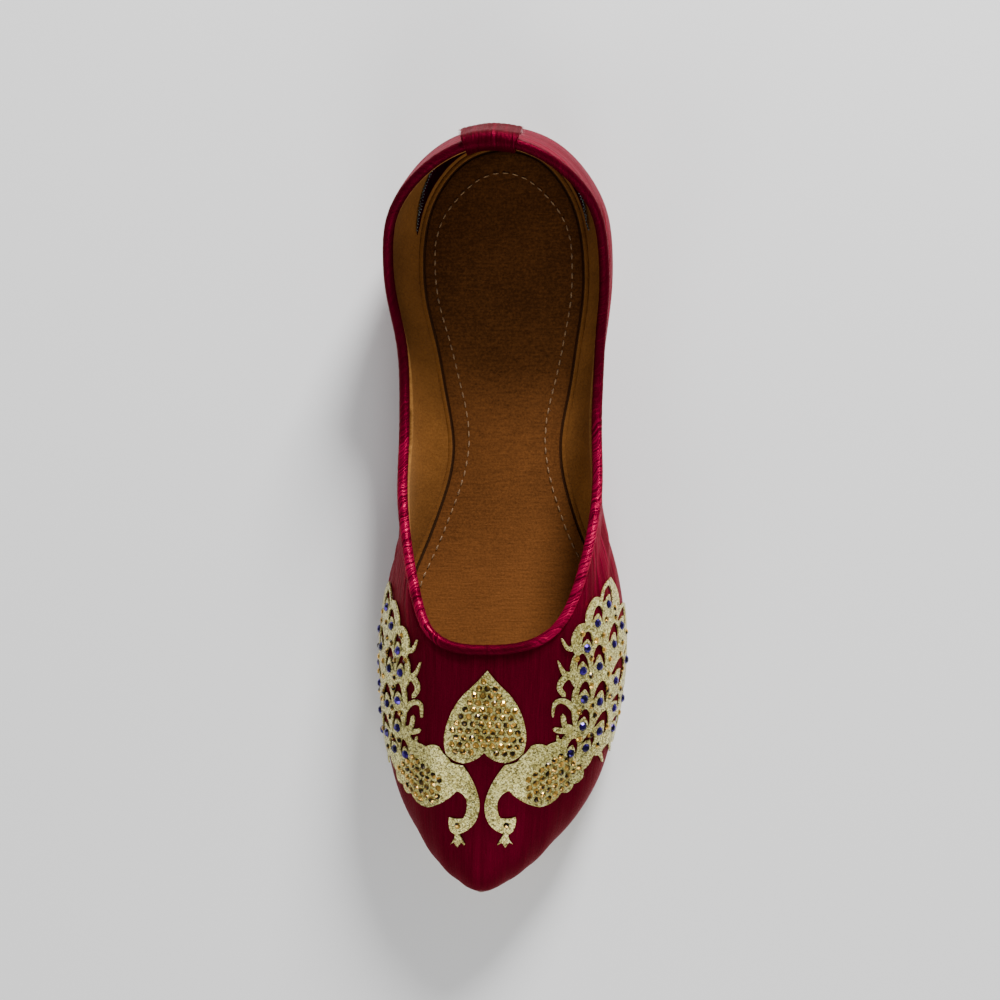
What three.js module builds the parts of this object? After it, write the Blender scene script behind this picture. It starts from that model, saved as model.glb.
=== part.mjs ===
// A flat, pointed slip-on shoe for the left foot, with a low scooped collar, glued from an
// outsole, a heel lift, an insole, a stretched fabric upper, a rolled collar edge, a pull tab,
// a heel grip and three cut-out ornaments. Millimetres, +Z up, the toe points to -Y, the outer
// side of the foot is +X, and the origin lies on the floor under the middle of the shoe.
import * as THREE from "three";
import { TessellateModifier } from "three/addons/modifiers/TessellateModifier.js";
import { mergeVertices } from "three/addons/utils/BufferGeometryUtils.js";

// Sizes of the sole
const SOLE_LENGTH = 241.5;
const BALL_WIDTH = 73;
const WAIST_WIDTH = 36.8;
const HEEL_WIDTH = 57.5;
const TOE_TURN = 7.3; // how far the toe tip leans towards the inner side
const SOLE_THICKNESS = 2.6;
const SOLE_CHAMFER = 0.6;
const TOE_SPRING = 13;
const SPRING_START = 86; // distance from the toe where the sole leaves the floor
const ARCH_START = 102;
const ARCH_END = 168;
const LIFT_HEIGHT = 5;
const LIFT_BREAST = 184; // distance from the toe to the front face of the heel lift
const INSOLE_THICKNESS = 2.2;
const INSOLE_CHAMFER = 0.3;

// Sizes of the upper
const WALL = 2;
const VAMP_LENGTH = 71; // from the toe to the bottom of the throat
const BACK_LEAN = 12; // how far the top of the heel stands ahead of its foot
const THROAT_HEIGHT = 44;
const SIDE_HEIGHT = 21.5; // the lowest point of the collar, beside the arch
const BACK_HEIGHT = 54;
const COLLAR_WIDTH = 66;
const THROAT_TURN = 2.6;
const BELLY = 8; // how far the wall is drawn outwards over the sole's edge

// Sizes of the trim
const SEAM = 0.3; // clearance between two pieces that meet
const BINDING_RADIUS = 1.9;
const TAB_WIDTH = 17;
const TAB_THICKNESS = 1;
const TAB_INSIDE = 10; // how far the tab reaches down inside the heel
const TAB_OUTSIDE = 4;
const GRIP_HEIGHT = 34;
const GRIP_FOOT = 4.4; // from the sole up to the heel grip's lower edge
const GRIP_WIDTH = 80; // the heel grip's width along its foot
const GRIP_TOP_WIDTH = 21;
const GRIP_BELL = 2.2; // how soon the grip narrows above its foot
const GRIP_THICKNESS = 0.8;

// Sizes of the ornaments on the vamp, laid flat
const ORNAMENT_THICKNESS = 0.6;
const BIRD_SPREAD = 60; // from the middle of the vamp to the outermost feather
const BIRD_LENGTH = 82; // from the crown to the tip of the tail
const BIRD_START = 14.5; // from the toe to the crown
const LEAF_WIDTH = 24.8;
const LEAF_LENGTH = 27.5;
const LEAF_START = 39.9;

const TAU = 2 * Math.PI;
const COLLAR_LENGTH = SOLE_LENGTH - BACK_LEAN - VAMP_LENGTH;

// The edge of the sole from toe to heel: place along the sole as a share of its length, half
// widths towards the inner and outer side as shares of the named width, and the share of the
// toe's turn that the row follows.
const SOLE_LINE = [
  { along: 0, width: BALL_WIDTH, inner: 0, outer: 0, turn: 1 },
  { along: 0.011, width: BALL_WIDTH, inner: 0.09, outer: 0.09, turn: 0.94 },
  { along: 0.05, width: BALL_WIDTH, inner: 0.236, outer: 0.236, turn: 0.76 },
  { along: 0.141, width: BALL_WIDTH, inner: 0.42, outer: 0.42, turn: 0.36 },
  { along: 0.285, width: BALL_WIDTH, inner: 0.5, outer: 0.5, turn: 0.1 },
  { along: 0.4, width: BALL_WIDTH, inner: 0.465, outer: 0.462, turn: 0 },
  { along: 0.475, width: WAIST_WIDTH, inner: 0.71, outer: 0.7, turn: 0 },
  { along: 0.585, width: WAIST_WIDTH, inner: 0.475, outer: 0.525, turn: 0 },
  { along: 0.69, width: HEEL_WIDTH, inner: 0.375, outer: 0.425, turn: 0 },
  { along: 0.8, width: HEEL_WIDTH, inner: 0.485, outer: 0.5, turn: 0 },
  { along: 0.91, width: HEEL_WIDTH, inner: 0.452, outer: 0.452, turn: 0 },
  { along: 0.98, width: HEEL_WIDTH, inner: 0.254, outer: 0.254, turn: 0 },
  { along: 1, width: HEEL_WIDTH, inner: 0, outer: 0, turn: 0 },
];

// The cut edge of the collar, row for row above the sole's edge: place along the collar as a
// share of its length, half widths as shares of the collar's width, and the edge's height.
const COLLAR_LINE = [
  { along: 0, inner: 0, outer: 0, turn: 1, height: THROAT_HEIGHT },
  { along: 0.003, inner: 0.12, outer: 0.12, turn: 0.95, height: THROAT_HEIGHT },
  { along: 0.014, inner: 0.215, outer: 0.215, turn: 0.8, height: 0.99 * THROAT_HEIGHT },
  { along: 0.042, inner: 0.31, outer: 0.31, turn: 0.55, height: 0.96 * THROAT_HEIGHT },
  { along: 0.1, inner: 0.388, outer: 0.388, turn: 0.25, height: 0.89 * THROAT_HEIGHT },
  { along: 0.19, inner: 0.438, outer: 0.438, turn: 0.05, height: 1.62 * SIDE_HEIGHT },
  { along: 0.32, inner: 0.476, outer: 0.476, turn: 0, height: 1.26 * SIDE_HEIGHT },
  { along: 0.47, inner: 0.472, outer: 0.472, turn: 0, height: 1.02 * SIDE_HEIGHT },
  { along: 0.62, inner: 0.488, outer: 0.498, turn: 0, height: 1.02 * SIDE_HEIGHT },
  { along: 0.76, inner: 0.545, outer: 0.532, turn: 0, height: 1.36 * SIDE_HEIGHT },
  { along: 0.88, inner: 0.5, outer: 0.49, turn: 0, height: 0.76 * BACK_HEIGHT },
  { along: 0.965, inner: 0.28, outer: 0.28, turn: 0, height: 0.945 * BACK_HEIGHT },
  { along: 1, inner: 0, outer: 0, turn: 0, height: BACK_HEIGHT },
];

// How each rib of the wall bends between those two edges. Near the sole it is pulled out by a
// share of the belly and up by a share of its own height. Near the collar it is pulled back
// towards the sole's edge, out by a share of the belly, and down by a share of its height.
const WALL_BEND = [
  { belly: 0.5, lift: 0.38, reach: 0.6, brow: 0, drop: 0.4 },
  { belly: 0.55, lift: 0.38, reach: 0.58, brow: 0, drop: 0.38 },
  { belly: 0.62, lift: 0.38, reach: 0.53, brow: 0, drop: 0.33 },
  { belly: 0.75, lift: 0.4, reach: 0.46, brow: 0.12, drop: 0.25 },
  { belly: 0.85, lift: 0.4, reach: 0.36, brow: 0.35, drop: 0.18 },
  { belly: 0.9, lift: 0.36, reach: 0.2, brow: 0.3, drop: 0.24 },
  { belly: 1, lift: 0.26, reach: 0.1, brow: 0.12, drop: 0.36 },
  { belly: 1, lift: 0.16, reach: 0.05, brow: 0, drop: 0.48 },
  { belly: 1, lift: 0.2, reach: 0, brow: 0.1, drop: 0.44 },
  { belly: 1, lift: 0.28, reach: 0, brow: 0.25, drop: 0.36 },
  { belly: 1, lift: 0.3, reach: 0, brow: 0.5, drop: 0.34 },
  { belly: 0.95, lift: 0.26, reach: 0, brow: 0.8, drop: 0.34 },
  { belly: 0.9, lift: 0.22, reach: 0, brow: 0.85, drop: 0.34 },
];

const RIBS = 2 * (SOLE_LINE.length - 1); // ribs round the whole shoe
const HEEL_TURN = 0.5; // the share of the way round at which the heel's middle lies

// Height of the underside of the sole at a distance from the toe.
function soleUnderside(distance) {
  const spring = Math.max(0, 1 - distance / SPRING_START);
  const arch = THREE.MathUtils.smoothstep(distance, ARCH_START, ARCH_END);
  return TOE_SPRING * spring ** 2 + (LIFT_HEIGHT + SEAM) * arch;
}

function soleTop(distance) {
  return soleUnderside(distance) + SOLE_THICKNESS;
}

// Puts rows that run from toe to heel round the shoe: outer side first, then back to the toe
// along the inner side. place(row, side) gives a row's point on that side.
function roundTheShoe(count, place) {
  const points = [];
  for (let rib = 0; rib < RIBS; rib += 1) {
    const outer = rib < count;
    points.push(place(outer ? rib : RIBS - rib, outer ? 1 : -1));
  }
  return points;
}

function sidePoint(row, side, width, turn, distance, height) {
  const half = side > 0 ? row.outer : row.inner;
  return new THREE.Vector3(side * half * width - turn * row.turn, distance, height);
}

function closedCurve(points) {
  return new THREE.CatmullRomCurve3(points, true, "centripetal");
}

const solePoints = roundTheShoe(SOLE_LINE.length, (index, side) => {
  const row = SOLE_LINE[index];
  const distance = row.along * SOLE_LENGTH;
  return sidePoint(row, side, row.width, TOE_TURN, distance, soleTop(distance) + SEAM);
});
const collarPoints = roundTheShoe(COLLAR_LINE.length, (index, side) => {
  const row = COLLAR_LINE[index];
  const distance = VAMP_LENGTH + row.along * COLLAR_LENGTH;
  return sidePoint(row, side, COLLAR_WIDTH, THROAT_TURN, distance, row.height);
});
const soleEdge = closedCurve(solePoints);

// The level direction that points away from the shoe at a share of the way round its edge.
function outwards(round) {
  const tangent = soleEdge.getTangent(((round % 1) + 1) % 1);
  return new THREE.Vector3(tangent.y, -tangent.x, 0).normalize();
}

function bendPoints(shape) {
  return solePoints.map((foot, rib) => {
    const bend = WALL_BEND[rib < WALL_BEND.length ? rib : RIBS - rib];
    return shape(foot, collarPoints[rib], bend, outwards(rib / RIBS));
  });
}

const bellyPoints = bendPoints((foot, top, bend, out) => {
  const lifted = foot.clone().addScaledVector(out, bend.belly * BELLY);
  lifted.z += bend.lift * (top.z - foot.z);
  return lifted;
});
const browPoints = bendPoints((foot, top, bend, out) => {
  const drawn = top.clone().lerp(foot, bend.reach);
  drawn.addScaledVector(out, bend.brow * BELLY);
  drawn.z = top.z - bend.drop * (top.z - foot.z);
  return drawn;
});
const ribCurves = [solePoints, bellyPoints, browPoints, collarPoints].map(closedCurve);

// A point of the wall's outer face: round is the share of the way round the shoe, from the toe
// along the outer side, and rise the share of the way from the sole to the collar.
function facePoint(round, rise) {
  const turn = ((round % 1) + 1) % 1;
  const [foot, belly, brow, top] = ribCurves.map((curve) => curve.getPoint(turn));
  return new THREE.CubicBezierCurve3(foot, belly, brow, top).getPoint(rise);
}

const PROBE = 1e-3; // step for slopes of the wall

function slopes(round, rise) {
  const low = Math.max(0, rise - PROBE);
  const high = Math.min(1, rise + PROBE);
  const along = facePoint(round + PROBE, rise).sub(facePoint(round - PROBE, rise));
  const up = facePoint(round, high).sub(facePoint(round, low));
  return { along: along.normalize(), up: up.normalize() };
}

// The same point moved off the face by an offset, outwards when it is positive.
function wallPoint(round, rise, offset) {
  const { along, up } = slopes(round, rise);
  const normal = along.cross(up).normalize();
  return facePoint(round, rise).addScaledVector(normal, offset);
}

// A closed solid from a grid of points, grid[row][column]. Columns close on themselves. Rows do
// too when ring is true, and otherwise the first and last row are filled in: each is a strip that
// runs out along one half of its columns and back along the other.
function solidFromRows(grid, ring) {
  const columns = grid[0].length;
  const flat = grid.flat();
  const faces = [];
  const rows = ring ? grid.length : grid.length - 1;
  for (let row = 0; row < rows; row += 1) {
    const here = row * columns;
    const next = ((row + 1) % grid.length) * columns;
    for (let column = 0; column < columns; column += 1) {
      const beside = (column + 1) % columns;
      faces.push([here + column, here + beside, next + beside]);
      faces.push([here + column, next + beside, next + column]);
    }
  }
  if (!ring) {
    const end = (grid.length - 1) * columns;
    for (let column = 0; column < columns / 2 - 1; column += 1) {
      const [a, b] = [column, column + 1];
      const [c, d] = [columns - 2 - column, columns - 1 - column];
      faces.push([a, c, b], [a, d, c]);
      faces.push([end + a, end + b, end + c], [end + a, end + c, end + d]);
    }
  }
  return geometryFromFaces(flat, faces);
}

const SPOT_DIGITS = 4; // decimals within which two points are one spot

// Faces with two corners on one spot, as at a pointed end, are dropped.
function geometryFromFaces(points, faces) {
  const spot = (point) => point.toArray().map((value) => value.toFixed(SPOT_DIGITS)).join();
  const spots = points.map(spot);
  const corners = faces
    .filter(([a, b, c]) => spots[a] !== spots[b] && spots[b] !== spots[c] && spots[c] !== spots[a])
    .flat()
    .map((index) => points[index]);
  const geometry = new THREE.BufferGeometry().setFromPoints(corners);
  const closed = mergeVertices(geometry, 10 ** -SPOT_DIGITS);
  closed.computeVertexNormals();
  return closed;
}

// Upper

const ROUND_STEPS = 4 * RIBS;
const RISE_STEPS = 9;

function upperGeometry() {
  const grid = [];
  for (let step = 0; step < ROUND_STEPS; step += 1) {
    const round = step / ROUND_STEPS;
    const outer = [];
    const inner = [];
    for (let level = 0; level <= RISE_STEPS; level += 1) {
      const rise = level / RISE_STEPS;
      outer.push(wallPoint(round, rise, 0));
      inner.unshift(wallPoint(round, rise, -WALL));
    }
    grid.push([...outer, ...inner]);
  }
  return solidFromRows(grid.reverse(), true);
}

// Collar binding: a round bead that sits on the collar's cut edge.

const BINDING_SIDES = 7;

function bindingGeometry() {
  const grid = [];
  for (let step = 0; step < ROUND_STEPS; step += 1) {
    const round = step / ROUND_STEPS;
    const { along, up } = slopes(round, 1);
    const out = along.clone().cross(up).normalize();
    const centre = wallPoint(round, 1, -WALL / 2).addScaledVector(up, BINDING_RADIUS + SEAM);
    const ring = [];
    for (let side = 0; side < BINDING_SIDES; side += 1) {
      const angle = (TAU * (side + 0.5)) / BINDING_SIDES - Math.PI / 2;
      const point = centre.clone().addScaledVector(out, BINDING_RADIUS * Math.cos(angle));
      ring.push(point.addScaledVector(up, BINDING_RADIUS * Math.sin(angle)));
    }
    grid.push(ring);
  }
  return solidFromRows(grid.reverse(), true);
}

// Sole pieces: layers across the sole, one for each pair of points on its two sides.

const SOLE_STEPS = ROUND_STEPS / 2;
const NARROW_DRAW = 0.25; // the most that a chamfer takes off each side, as a share of the width

// The sole's edge on one side, drawn in by an inset.
function edgePoint(round, inset) {
  return soleEdge.getPoint(((round % 1) + 1) % 1).addScaledVector(outwards(round), -inset);
}

// A layer between two heights that follow the distance from the toe, chamfered underneath.
function layerGeometry(inset, low, high, chamfer, start = 0) {
  const grid = [];
  const corner = (point, side, level, draw) => {
    return new THREE.Vector3(point.x - side * draw, point.y, level(point.y));
  };
  for (let step = 0; step <= SOLE_STEPS; step += 1) {
    const share = step / ROUND_STEPS;
    const outer = edgePoint(share, inset);
    const inner = edgePoint(-share, inset);
    if (outer.y < start) continue;
    const draw = Math.min(chamfer, (outer.x - inner.x) * NARROW_DRAW);
    grid.push([
      corner(inner, -1, low, draw),
      corner(outer, 1, low, draw),
      corner(outer, 1, (y) => low(y) + chamfer, 0),
      corner(outer, 1, high, 0),
      corner(inner, -1, high, 0),
      corner(inner, -1, (y) => low(y) + chamfer, 0),
    ]);
  }
  return solidFromRows(grid.reverse(), false);
}

const outsoleGeometry = () => layerGeometry(0, soleUnderside, soleTop, SOLE_CHAMFER);
const insoleFloor = (distance) => soleTop(distance) + SEAM;
const insoleGeometry = () =>
  layerGeometry(WALL + SEAM, insoleFloor, (y) => insoleFloor(y) + INSOLE_THICKNESS, INSOLE_CHAMFER);
const liftGeometry = () =>
  layerGeometry(0, () => 0, () => LIFT_HEIGHT, SOLE_CHAMFER, LIFT_BREAST);

// Pieces on the wall: a closed plate over a grid of places on it, between two offsets.
// spot(u, v) gives the way round and the rise for shares across and up the plate.
function plateGeometry(columns, rows, spot, nearOffset, farOffset) {
  const grid = [];
  for (let row = 0; row <= rows; row += 1) {
    const near = [];
    const far = [];
    for (let column = 0; column <= columns; column += 1) {
      const { round, rise } = spot(column / columns, row / rows);
      far.push(wallPoint(round, rise, farOffset));
      near.unshift(wallPoint(round, rise, nearOffset));
    }
    grid.push([...far, ...near]);
  }
  return solidFromRows(grid, false);
}

// How far the way round moves for one millimetre along the heel, at a rise.
function roundPerLength(rise) {
  const length = facePoint(HEEL_TURN + PROBE, rise).distanceTo(facePoint(HEEL_TURN - PROBE, rise));
  return (2 * PROBE) / length;
}

// Length of the wall from the sole to the collar at a place round the shoe.
function wallLength(round) {
  let length = 0;
  for (let level = 0; level < RISE_STEPS; level += 1) {
    const low = facePoint(round, level / RISE_STEPS);
    length += low.distanceTo(facePoint(round, (level + 1) / RISE_STEPS));
  }
  return length;
}

const BACK_LENGTH = wallLength(HEEL_TURN);

// Heel grip: a thin lining piece, bell shaped, wide along the insole and narrow at the tab.
const GRIP_COLUMNS = 18;
const GRIP_ROWS = 8;

function gripGeometry() {
  const foot = GRIP_FOOT / BACK_LENGTH;
  const top = foot + GRIP_HEIGHT / BACK_LENGTH;
  const spot = (across, up) => {
    const rise = THREE.MathUtils.lerp(foot, top, up);
    const width = THREE.MathUtils.lerp(GRIP_TOP_WIDTH, GRIP_WIDTH, (1 - up) ** GRIP_BELL);
    return { round: HEEL_TURN + (across - 0.5) * width * roundPerLength(rise), rise };
  };
  const near = -(WALL + SEAM);
  return plateGeometry(GRIP_COLUMNS, GRIP_ROWS, spot, near - GRIP_THICKNESS, near);
}

// Pull tab: a ribbon folded over the collar's edge at the middle of the heel.
const TAB_COLUMNS = 4;
const TAB_ARC_STEPS = 8;

function tabLine(round, thickness) {
  const { along, up } = slopes(round, 1);
  const out = along.clone().cross(up).normalize();
  const centre = wallPoint(round, 1, -WALL / 2).addScaledVector(up, BINDING_RADIUS + SEAM);
  const radius = BINDING_RADIUS + SEAM + thickness;
  const inside = [1, 0.5].map((share) => 1 - (share * TAB_INSIDE) / BACK_LENGTH);
  const outside = [0.5, 1].map((share) => 1 - (share * TAB_OUTSIDE) / BACK_LENGTH);
  const points = inside.map((rise) => wallPoint(round, rise, -(WALL + SEAM + thickness)));
  for (let step = 0; step <= TAB_ARC_STEPS; step += 1) {
    const angle = Math.PI * (1 - step / TAB_ARC_STEPS);
    const point = centre.clone().addScaledVector(out, radius * Math.cos(angle));
    points.push(point.addScaledVector(up, radius * Math.sin(angle)));
  }
  points.push(...outside.map((rise) => wallPoint(round, rise, SEAM + thickness)));
  return points;
}

function tabGeometry() {
  const grid = [];
  for (let column = 0; column <= TAB_COLUMNS; column += 1) {
    const across = (column / TAB_COLUMNS - 0.5) * TAB_WIDTH;
    const round = HEEL_TURN + across * roundPerLength(1);
    grid.push([...tabLine(round, TAB_THICKNESS), ...tabLine(round, 0).reverse()]);
  }
  return solidFromRows(grid, false);
}

// The vamp's chart. It tells where a place on the flat ornament falls on the wall, from its
// distance to the toe and its length across from the vamp's middle line. Past the throat the
// length across runs straight over the opening.
const CHART_STEP = 3;
const CHART_LEVELS = 20;
const CHART_END = BIRD_START + BIRD_LENGTH + 2 * CHART_STEP;
const toeLine = facePoint(0, 0).y;

const HALVINGS = 24;

// Halves the way between two shares until a value that grows from one to the other is met.
function solve(low, high, goal, measure) {
  for (let turn = 0; turn < HALVINGS; turn += 1) {
    const middle = (low + high) / 2;
    if (measure(middle) < goal) low = middle;
    else high = middle;
  }
  return (low + high) / 2;
}

function chartSection(distance, side) {
  const goal = toeLine + distance;
  const crest = facePoint(0, 1).y > goal ? solve(0, 1, goal, (rise) => facePoint(0, rise).y) : 1;
  const middle = facePoint(0, crest).x;
  const stops = [];
  let length = 0;
  let last = null;
  for (let level = 0; level <= CHART_LEVELS; level += 1) {
    const rise = crest * (1 - level / CHART_LEVELS);
    const turn = solve(0, HEEL_TURN, goal, (share) => facePoint(side * share, rise).y);
    const point = facePoint(side * turn, rise);
    length += last ? point.distanceTo(last) : Math.abs(point.x - middle);
    stops.push({ length, round: side * turn, rise });
    last = point;
  }
  return stops;
}

const charts = new Map();
for (const side of [1, -1]) {
  const sections = [];
  for (let distance = CHART_STEP; distance < CHART_END; distance += CHART_STEP) {
    sections.push(chartSection(distance, side));
  }
  charts.set(side, sections);
}

function spotOnSection(stops, length) {
  const after = Math.max(1, stops.findIndex((stop) => stop.length >= length));
  const [a, b] = [stops[after - 1], stops[after]];
  const share = THREE.MathUtils.clamp((length - a.length) / (b.length - a.length), 0, 1);
  return [THREE.MathUtils.lerp(a.round, b.round, share), THREE.MathUtils.lerp(a.rise, b.rise, share)];
}

function spotOnVamp(across, distance) {
  const sections = charts.get(across < 0 ? -1 : 1);
  const place = distance / CHART_STEP - 1;
  const index = THREE.MathUtils.clamp(Math.floor(place), 0, sections.length - 2);
  const [roundA, riseA] = spotOnSection(sections[index], Math.abs(across));
  const [roundB, riseB] = spotOnSection(sections[index + 1], Math.abs(across));
  const share = place - index;
  return {
    round: THREE.MathUtils.lerp(roundA, roundB, share),
    rise: THREE.MathUtils.lerp(riseA, riseB, share),
  };
}

// An outline of corners. The edge that leads to a corner bows out to the right of its way by a
// share of its own length.
function outlineShape(corners, place) {
  const spots = corners.map(place);
  const shape = new THREE.Shape();
  shape.moveTo(spots.at(-1).x, spots.at(-1).y);
  spots.forEach((end, index) => {
    const start = spots.at(index - 1);
    const chord = end.clone().sub(start);
    const control = start.clone().add(end).multiplyScalar(0.5);
    const right = new THREE.Vector2(chord.y, -chord.x);
    control.addScaledVector(right, 2 * corners[index].bow);
    shape.quadraticCurveTo(control.x, control.y, end.x, end.y);
  });
  return shape;
}

// Lays a flat outline onto the vamp as a thin plate. side is -1 for a mirrored one.
const ORNAMENT_EDGE = 6; // longest edge of a plate's facets
const ORNAMENT_CUTS = 8; // the most times that an edge is halved to get there
const ARC_STEPS = 3; // straight stretches in each arc of an outline

function ornamentGeometry(shape, side) {
  const flat = new THREE.ExtrudeGeometry(shape, {
    depth: ORNAMENT_THICKNESS,
    bevelEnabled: false,
    curveSegments: ARC_STEPS,
  });
  const fine = new TessellateModifier(ORNAMENT_EDGE, ORNAMENT_CUTS).modify(flat);
  const place = fine.attributes.position;
  const corners = [];
  for (let index = 0; index < place.count; index += 1) {
    const spot = spotOnVamp(side * place.getX(index), place.getY(index));
    corners.push(wallPoint(spot.round, spot.rise, SEAM + place.getZ(index)));
  }
  const order = side > 0 ? [0, 1, 2] : [0, 2, 1];
  const faces = [];
  for (let index = 0; index < corners.length; index += 3) {
    faces.push(order.map((corner) => index + corner));
  }
  return geometryFromFaces(corners, faces);
}

// One half of the leaf, from its notch to its tip, as shares of its half width and length.
const LEAF_LINE = [
  { across: 0.5, along: 0, bow: 0.1 },
  { across: 0.95, along: 0.11, bow: 0.1 },
  { across: 1, along: 0.32, bow: 0.05 },
  { across: 0.55, along: 0.76, bow: 0.08 },
  { across: 0, along: 1, bow: 0.05 },
];
const LEAF_NOTCH = { across: 0, along: 0.115 };

function leafShape() {
  const back = LEAF_LINE.slice(1).reverse().map(({ bow }, index) => {
    const { across, along } = LEAF_LINE.at(-2 - index);
    return { across: -across, along, bow };
  });
  const corners = [...LEAF_LINE, ...back, { ...LEAF_NOTCH, bow: LEAF_LINE[0].bow }];
  return outlineShape(corners, ({ across, along }) =>
    new THREE.Vector2((across * LEAF_WIDTH) / 2, LEAF_START + along * LEAF_LENGTH));
}

// A bird from its crown round the head, the wing and the feathers' tips, back along the body
// and the neck. Shares of its spread and length.
const BIRD_LINE = [
  { across: 0.083, along: 0.007, bow: 0 },
  { across: 0.122, along: 0, bow: 0 },
  { across: 0.16, along: 0.011, bow: 0 },
  { across: 0.135, along: 0.049, bow: -0.1 },
  { across: 0.168, along: 0.073, bow: 0.15 },
  { across: 0.17, along: 0.108, bow: 0.05 },
  { across: 0.092, along: 0.107, bow: -0.08 },
  { across: 0.078, along: 0.176, bow: -0.1 },
  { across: 0.131, along: 0.207, bow: -0.12 },
  { across: 0.292, along: 0.148, bow: 0.08 },
  { across: 0.41, along: 0.2, bow: 0.12 },
  { across: 0.48, along: 0.232, bow: 0.25 },
  { across: 0.532, along: 0.285, bow: 0.25 },
  { across: 0.588, along: 0.348, bow: 0.1 },
  { across: 0.652, along: 0.323, bow: -0.1 },
  { across: 0.733, along: 0.376, bow: -0.1 },
  { across: 0.85, along: 0.41, bow: 0.14 },
  { across: 0.9, along: 0.495, bow: 0.2 },
  { across: 0.975, along: 0.549, bow: 0.1 },
  { across: 0.965, along: 0.614, bow: 0.2 },
  { across: 0.9, along: 0.62, bow: 0.1 },
  { across: 0.985, along: 0.682, bow: 0.05 },
  { across: 1, along: 0.76, bow: 0.08 },
  { across: 0.97, along: 0.804, bow: 0.2 },
  { across: 0.9, along: 0.785, bow: 0.05 },
  { across: 0.955, along: 0.835, bow: 0.08 },
  { across: 0.915, along: 0.912, bow: 0.2 },
  { across: 0.8, along: 0.884, bow: 0.1 },
  { across: 0.785, along: 0.955, bow: 0.1 },
  { across: 0.71, along: 1, bow: 0.1 },
  { across: 0.6, along: 0.912, bow: 0.1 },
  { across: 0.545, along: 0.922, bow: 0.1 },
  { across: 0.447, along: 0.822, bow: 0.14 },
  { across: 0.425, along: 0.75, bow: 0.15 },
  { across: 0.358, along: 0.677, bow: -0.1 },
  { across: 0.418, along: 0.633, bow: -0.1 },
  { across: 0.375, along: 0.592, bow: 0.1 },
  { across: 0.42, along: 0.555, bow: -0.2 },
  { across: 0.337, along: 0.515, bow: 0.15 },
  { across: 0.403, along: 0.477, bow: -0.2 },
  { across: 0.353, along: 0.433, bow: 0.1 },
  { across: 0.377, along: 0.383, bow: -0.1 },
  { across: 0.315, along: 0.371, bow: 0.05 },
  { across: 0.235, along: 0.371, bow: 0.1 },
  { across: 0.21, along: 0.345, bow: 0 },
  { across: 0.17, along: 0.313, bow: 0.05 },
  { across: 0.105, along: 0.301, bow: -0.05 },
  { across: 0.017, along: 0.176, bow: 0.06 },
  { across: 0.028, along: 0.1, bow: 0.08 },
  { across: 0.113, along: 0.05, bow: 0.12 },
];

const birdShape = () =>
  outlineShape(BIRD_LINE, ({ across, along }) =>
    new THREE.Vector2(across * BIRD_SPREAD, BIRD_START + along * BIRD_LENGTH));

function finish(colour, roughness, metalness = 0) {
  return new THREE.MeshStandardMaterial({ color: colour, roughness, metalness });
}

const satin = finish(0x9c0f34, 0.35);
const suede = finish(0x9a5a22, 0.9);
const hide = finish(0xd8d2c4, 0.7);
const glitter = finish(0xc9b06a, 0.4, 0.6);

const shoe = new THREE.Group();
function add(name, geometry, material) {
  const mesh = new THREE.Mesh(geometry, material);
  mesh.name = name;
  shoe.add(mesh);
}

add("outsole", outsoleGeometry(), hide);
add("heel_lift", liftGeometry(), hide);
add("insole", insoleGeometry(), suede);
add("upper", upperGeometry(), satin);
add("collar_binding", bindingGeometry(), satin);
add("heel_tab", tabGeometry(), satin);
add("heel_grip", gripGeometry(), satin);
add("vamp_leaf", ornamentGeometry(leafShape(), 1), glitter);
add("bird_outer", ornamentGeometry(birdShape(), 1), glitter);
add("bird_inner", ornamentGeometry(birdShape(), -1), glitter);

const box = new THREE.Box3().setFromObject(shoe);
const middle = box.getCenter(new THREE.Vector3());
shoe.position.set(-middle.x, -middle.y, 0);

export default shoe;
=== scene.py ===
"""Dresses one left mojari shoe: ribbed satin, suede, pale leather, and cut glitter cloth with stones.

Lengths in tables and fields are millimetres and are turned into metres where meshes are made.
Places that come from the frame, and those of the camera, the lights and the floor, are metres.
The vamp's chart gives a place by its length across from the middle line and its distance from
the toe, both measured in millimetres on the cloth.
"""
from __future__ import annotations

import logging
import math
import random
from dataclasses import dataclass, field
from enum import Enum
from typing import Callable, Iterable, Iterator, Sequence

import bmesh
import bpy
from mathutils import Matrix, Vector, noise
from mathutils.bvhtree import BVHTree

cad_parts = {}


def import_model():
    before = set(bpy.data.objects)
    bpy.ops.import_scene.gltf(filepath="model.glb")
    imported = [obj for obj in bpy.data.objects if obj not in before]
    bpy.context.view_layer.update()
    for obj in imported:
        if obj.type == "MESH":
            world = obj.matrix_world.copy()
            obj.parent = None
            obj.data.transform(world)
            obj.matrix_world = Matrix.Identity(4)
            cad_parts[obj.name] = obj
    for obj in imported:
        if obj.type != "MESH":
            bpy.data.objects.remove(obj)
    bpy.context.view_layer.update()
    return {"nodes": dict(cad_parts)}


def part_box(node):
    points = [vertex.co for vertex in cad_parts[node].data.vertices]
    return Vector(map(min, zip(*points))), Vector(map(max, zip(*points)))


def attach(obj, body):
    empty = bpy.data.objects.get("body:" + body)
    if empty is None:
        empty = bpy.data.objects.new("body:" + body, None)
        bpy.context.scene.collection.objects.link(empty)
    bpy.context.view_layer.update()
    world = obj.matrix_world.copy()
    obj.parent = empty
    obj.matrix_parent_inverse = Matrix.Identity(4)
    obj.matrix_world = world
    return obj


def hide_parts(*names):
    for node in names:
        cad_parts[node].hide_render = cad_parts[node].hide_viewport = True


MM = 0.001
MERGE_GAP = 0.01 * MM
QUAD_ANGLE = math.radians(70)
BODY = "root"
LOG = logging.getLogger("mojari")

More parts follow.
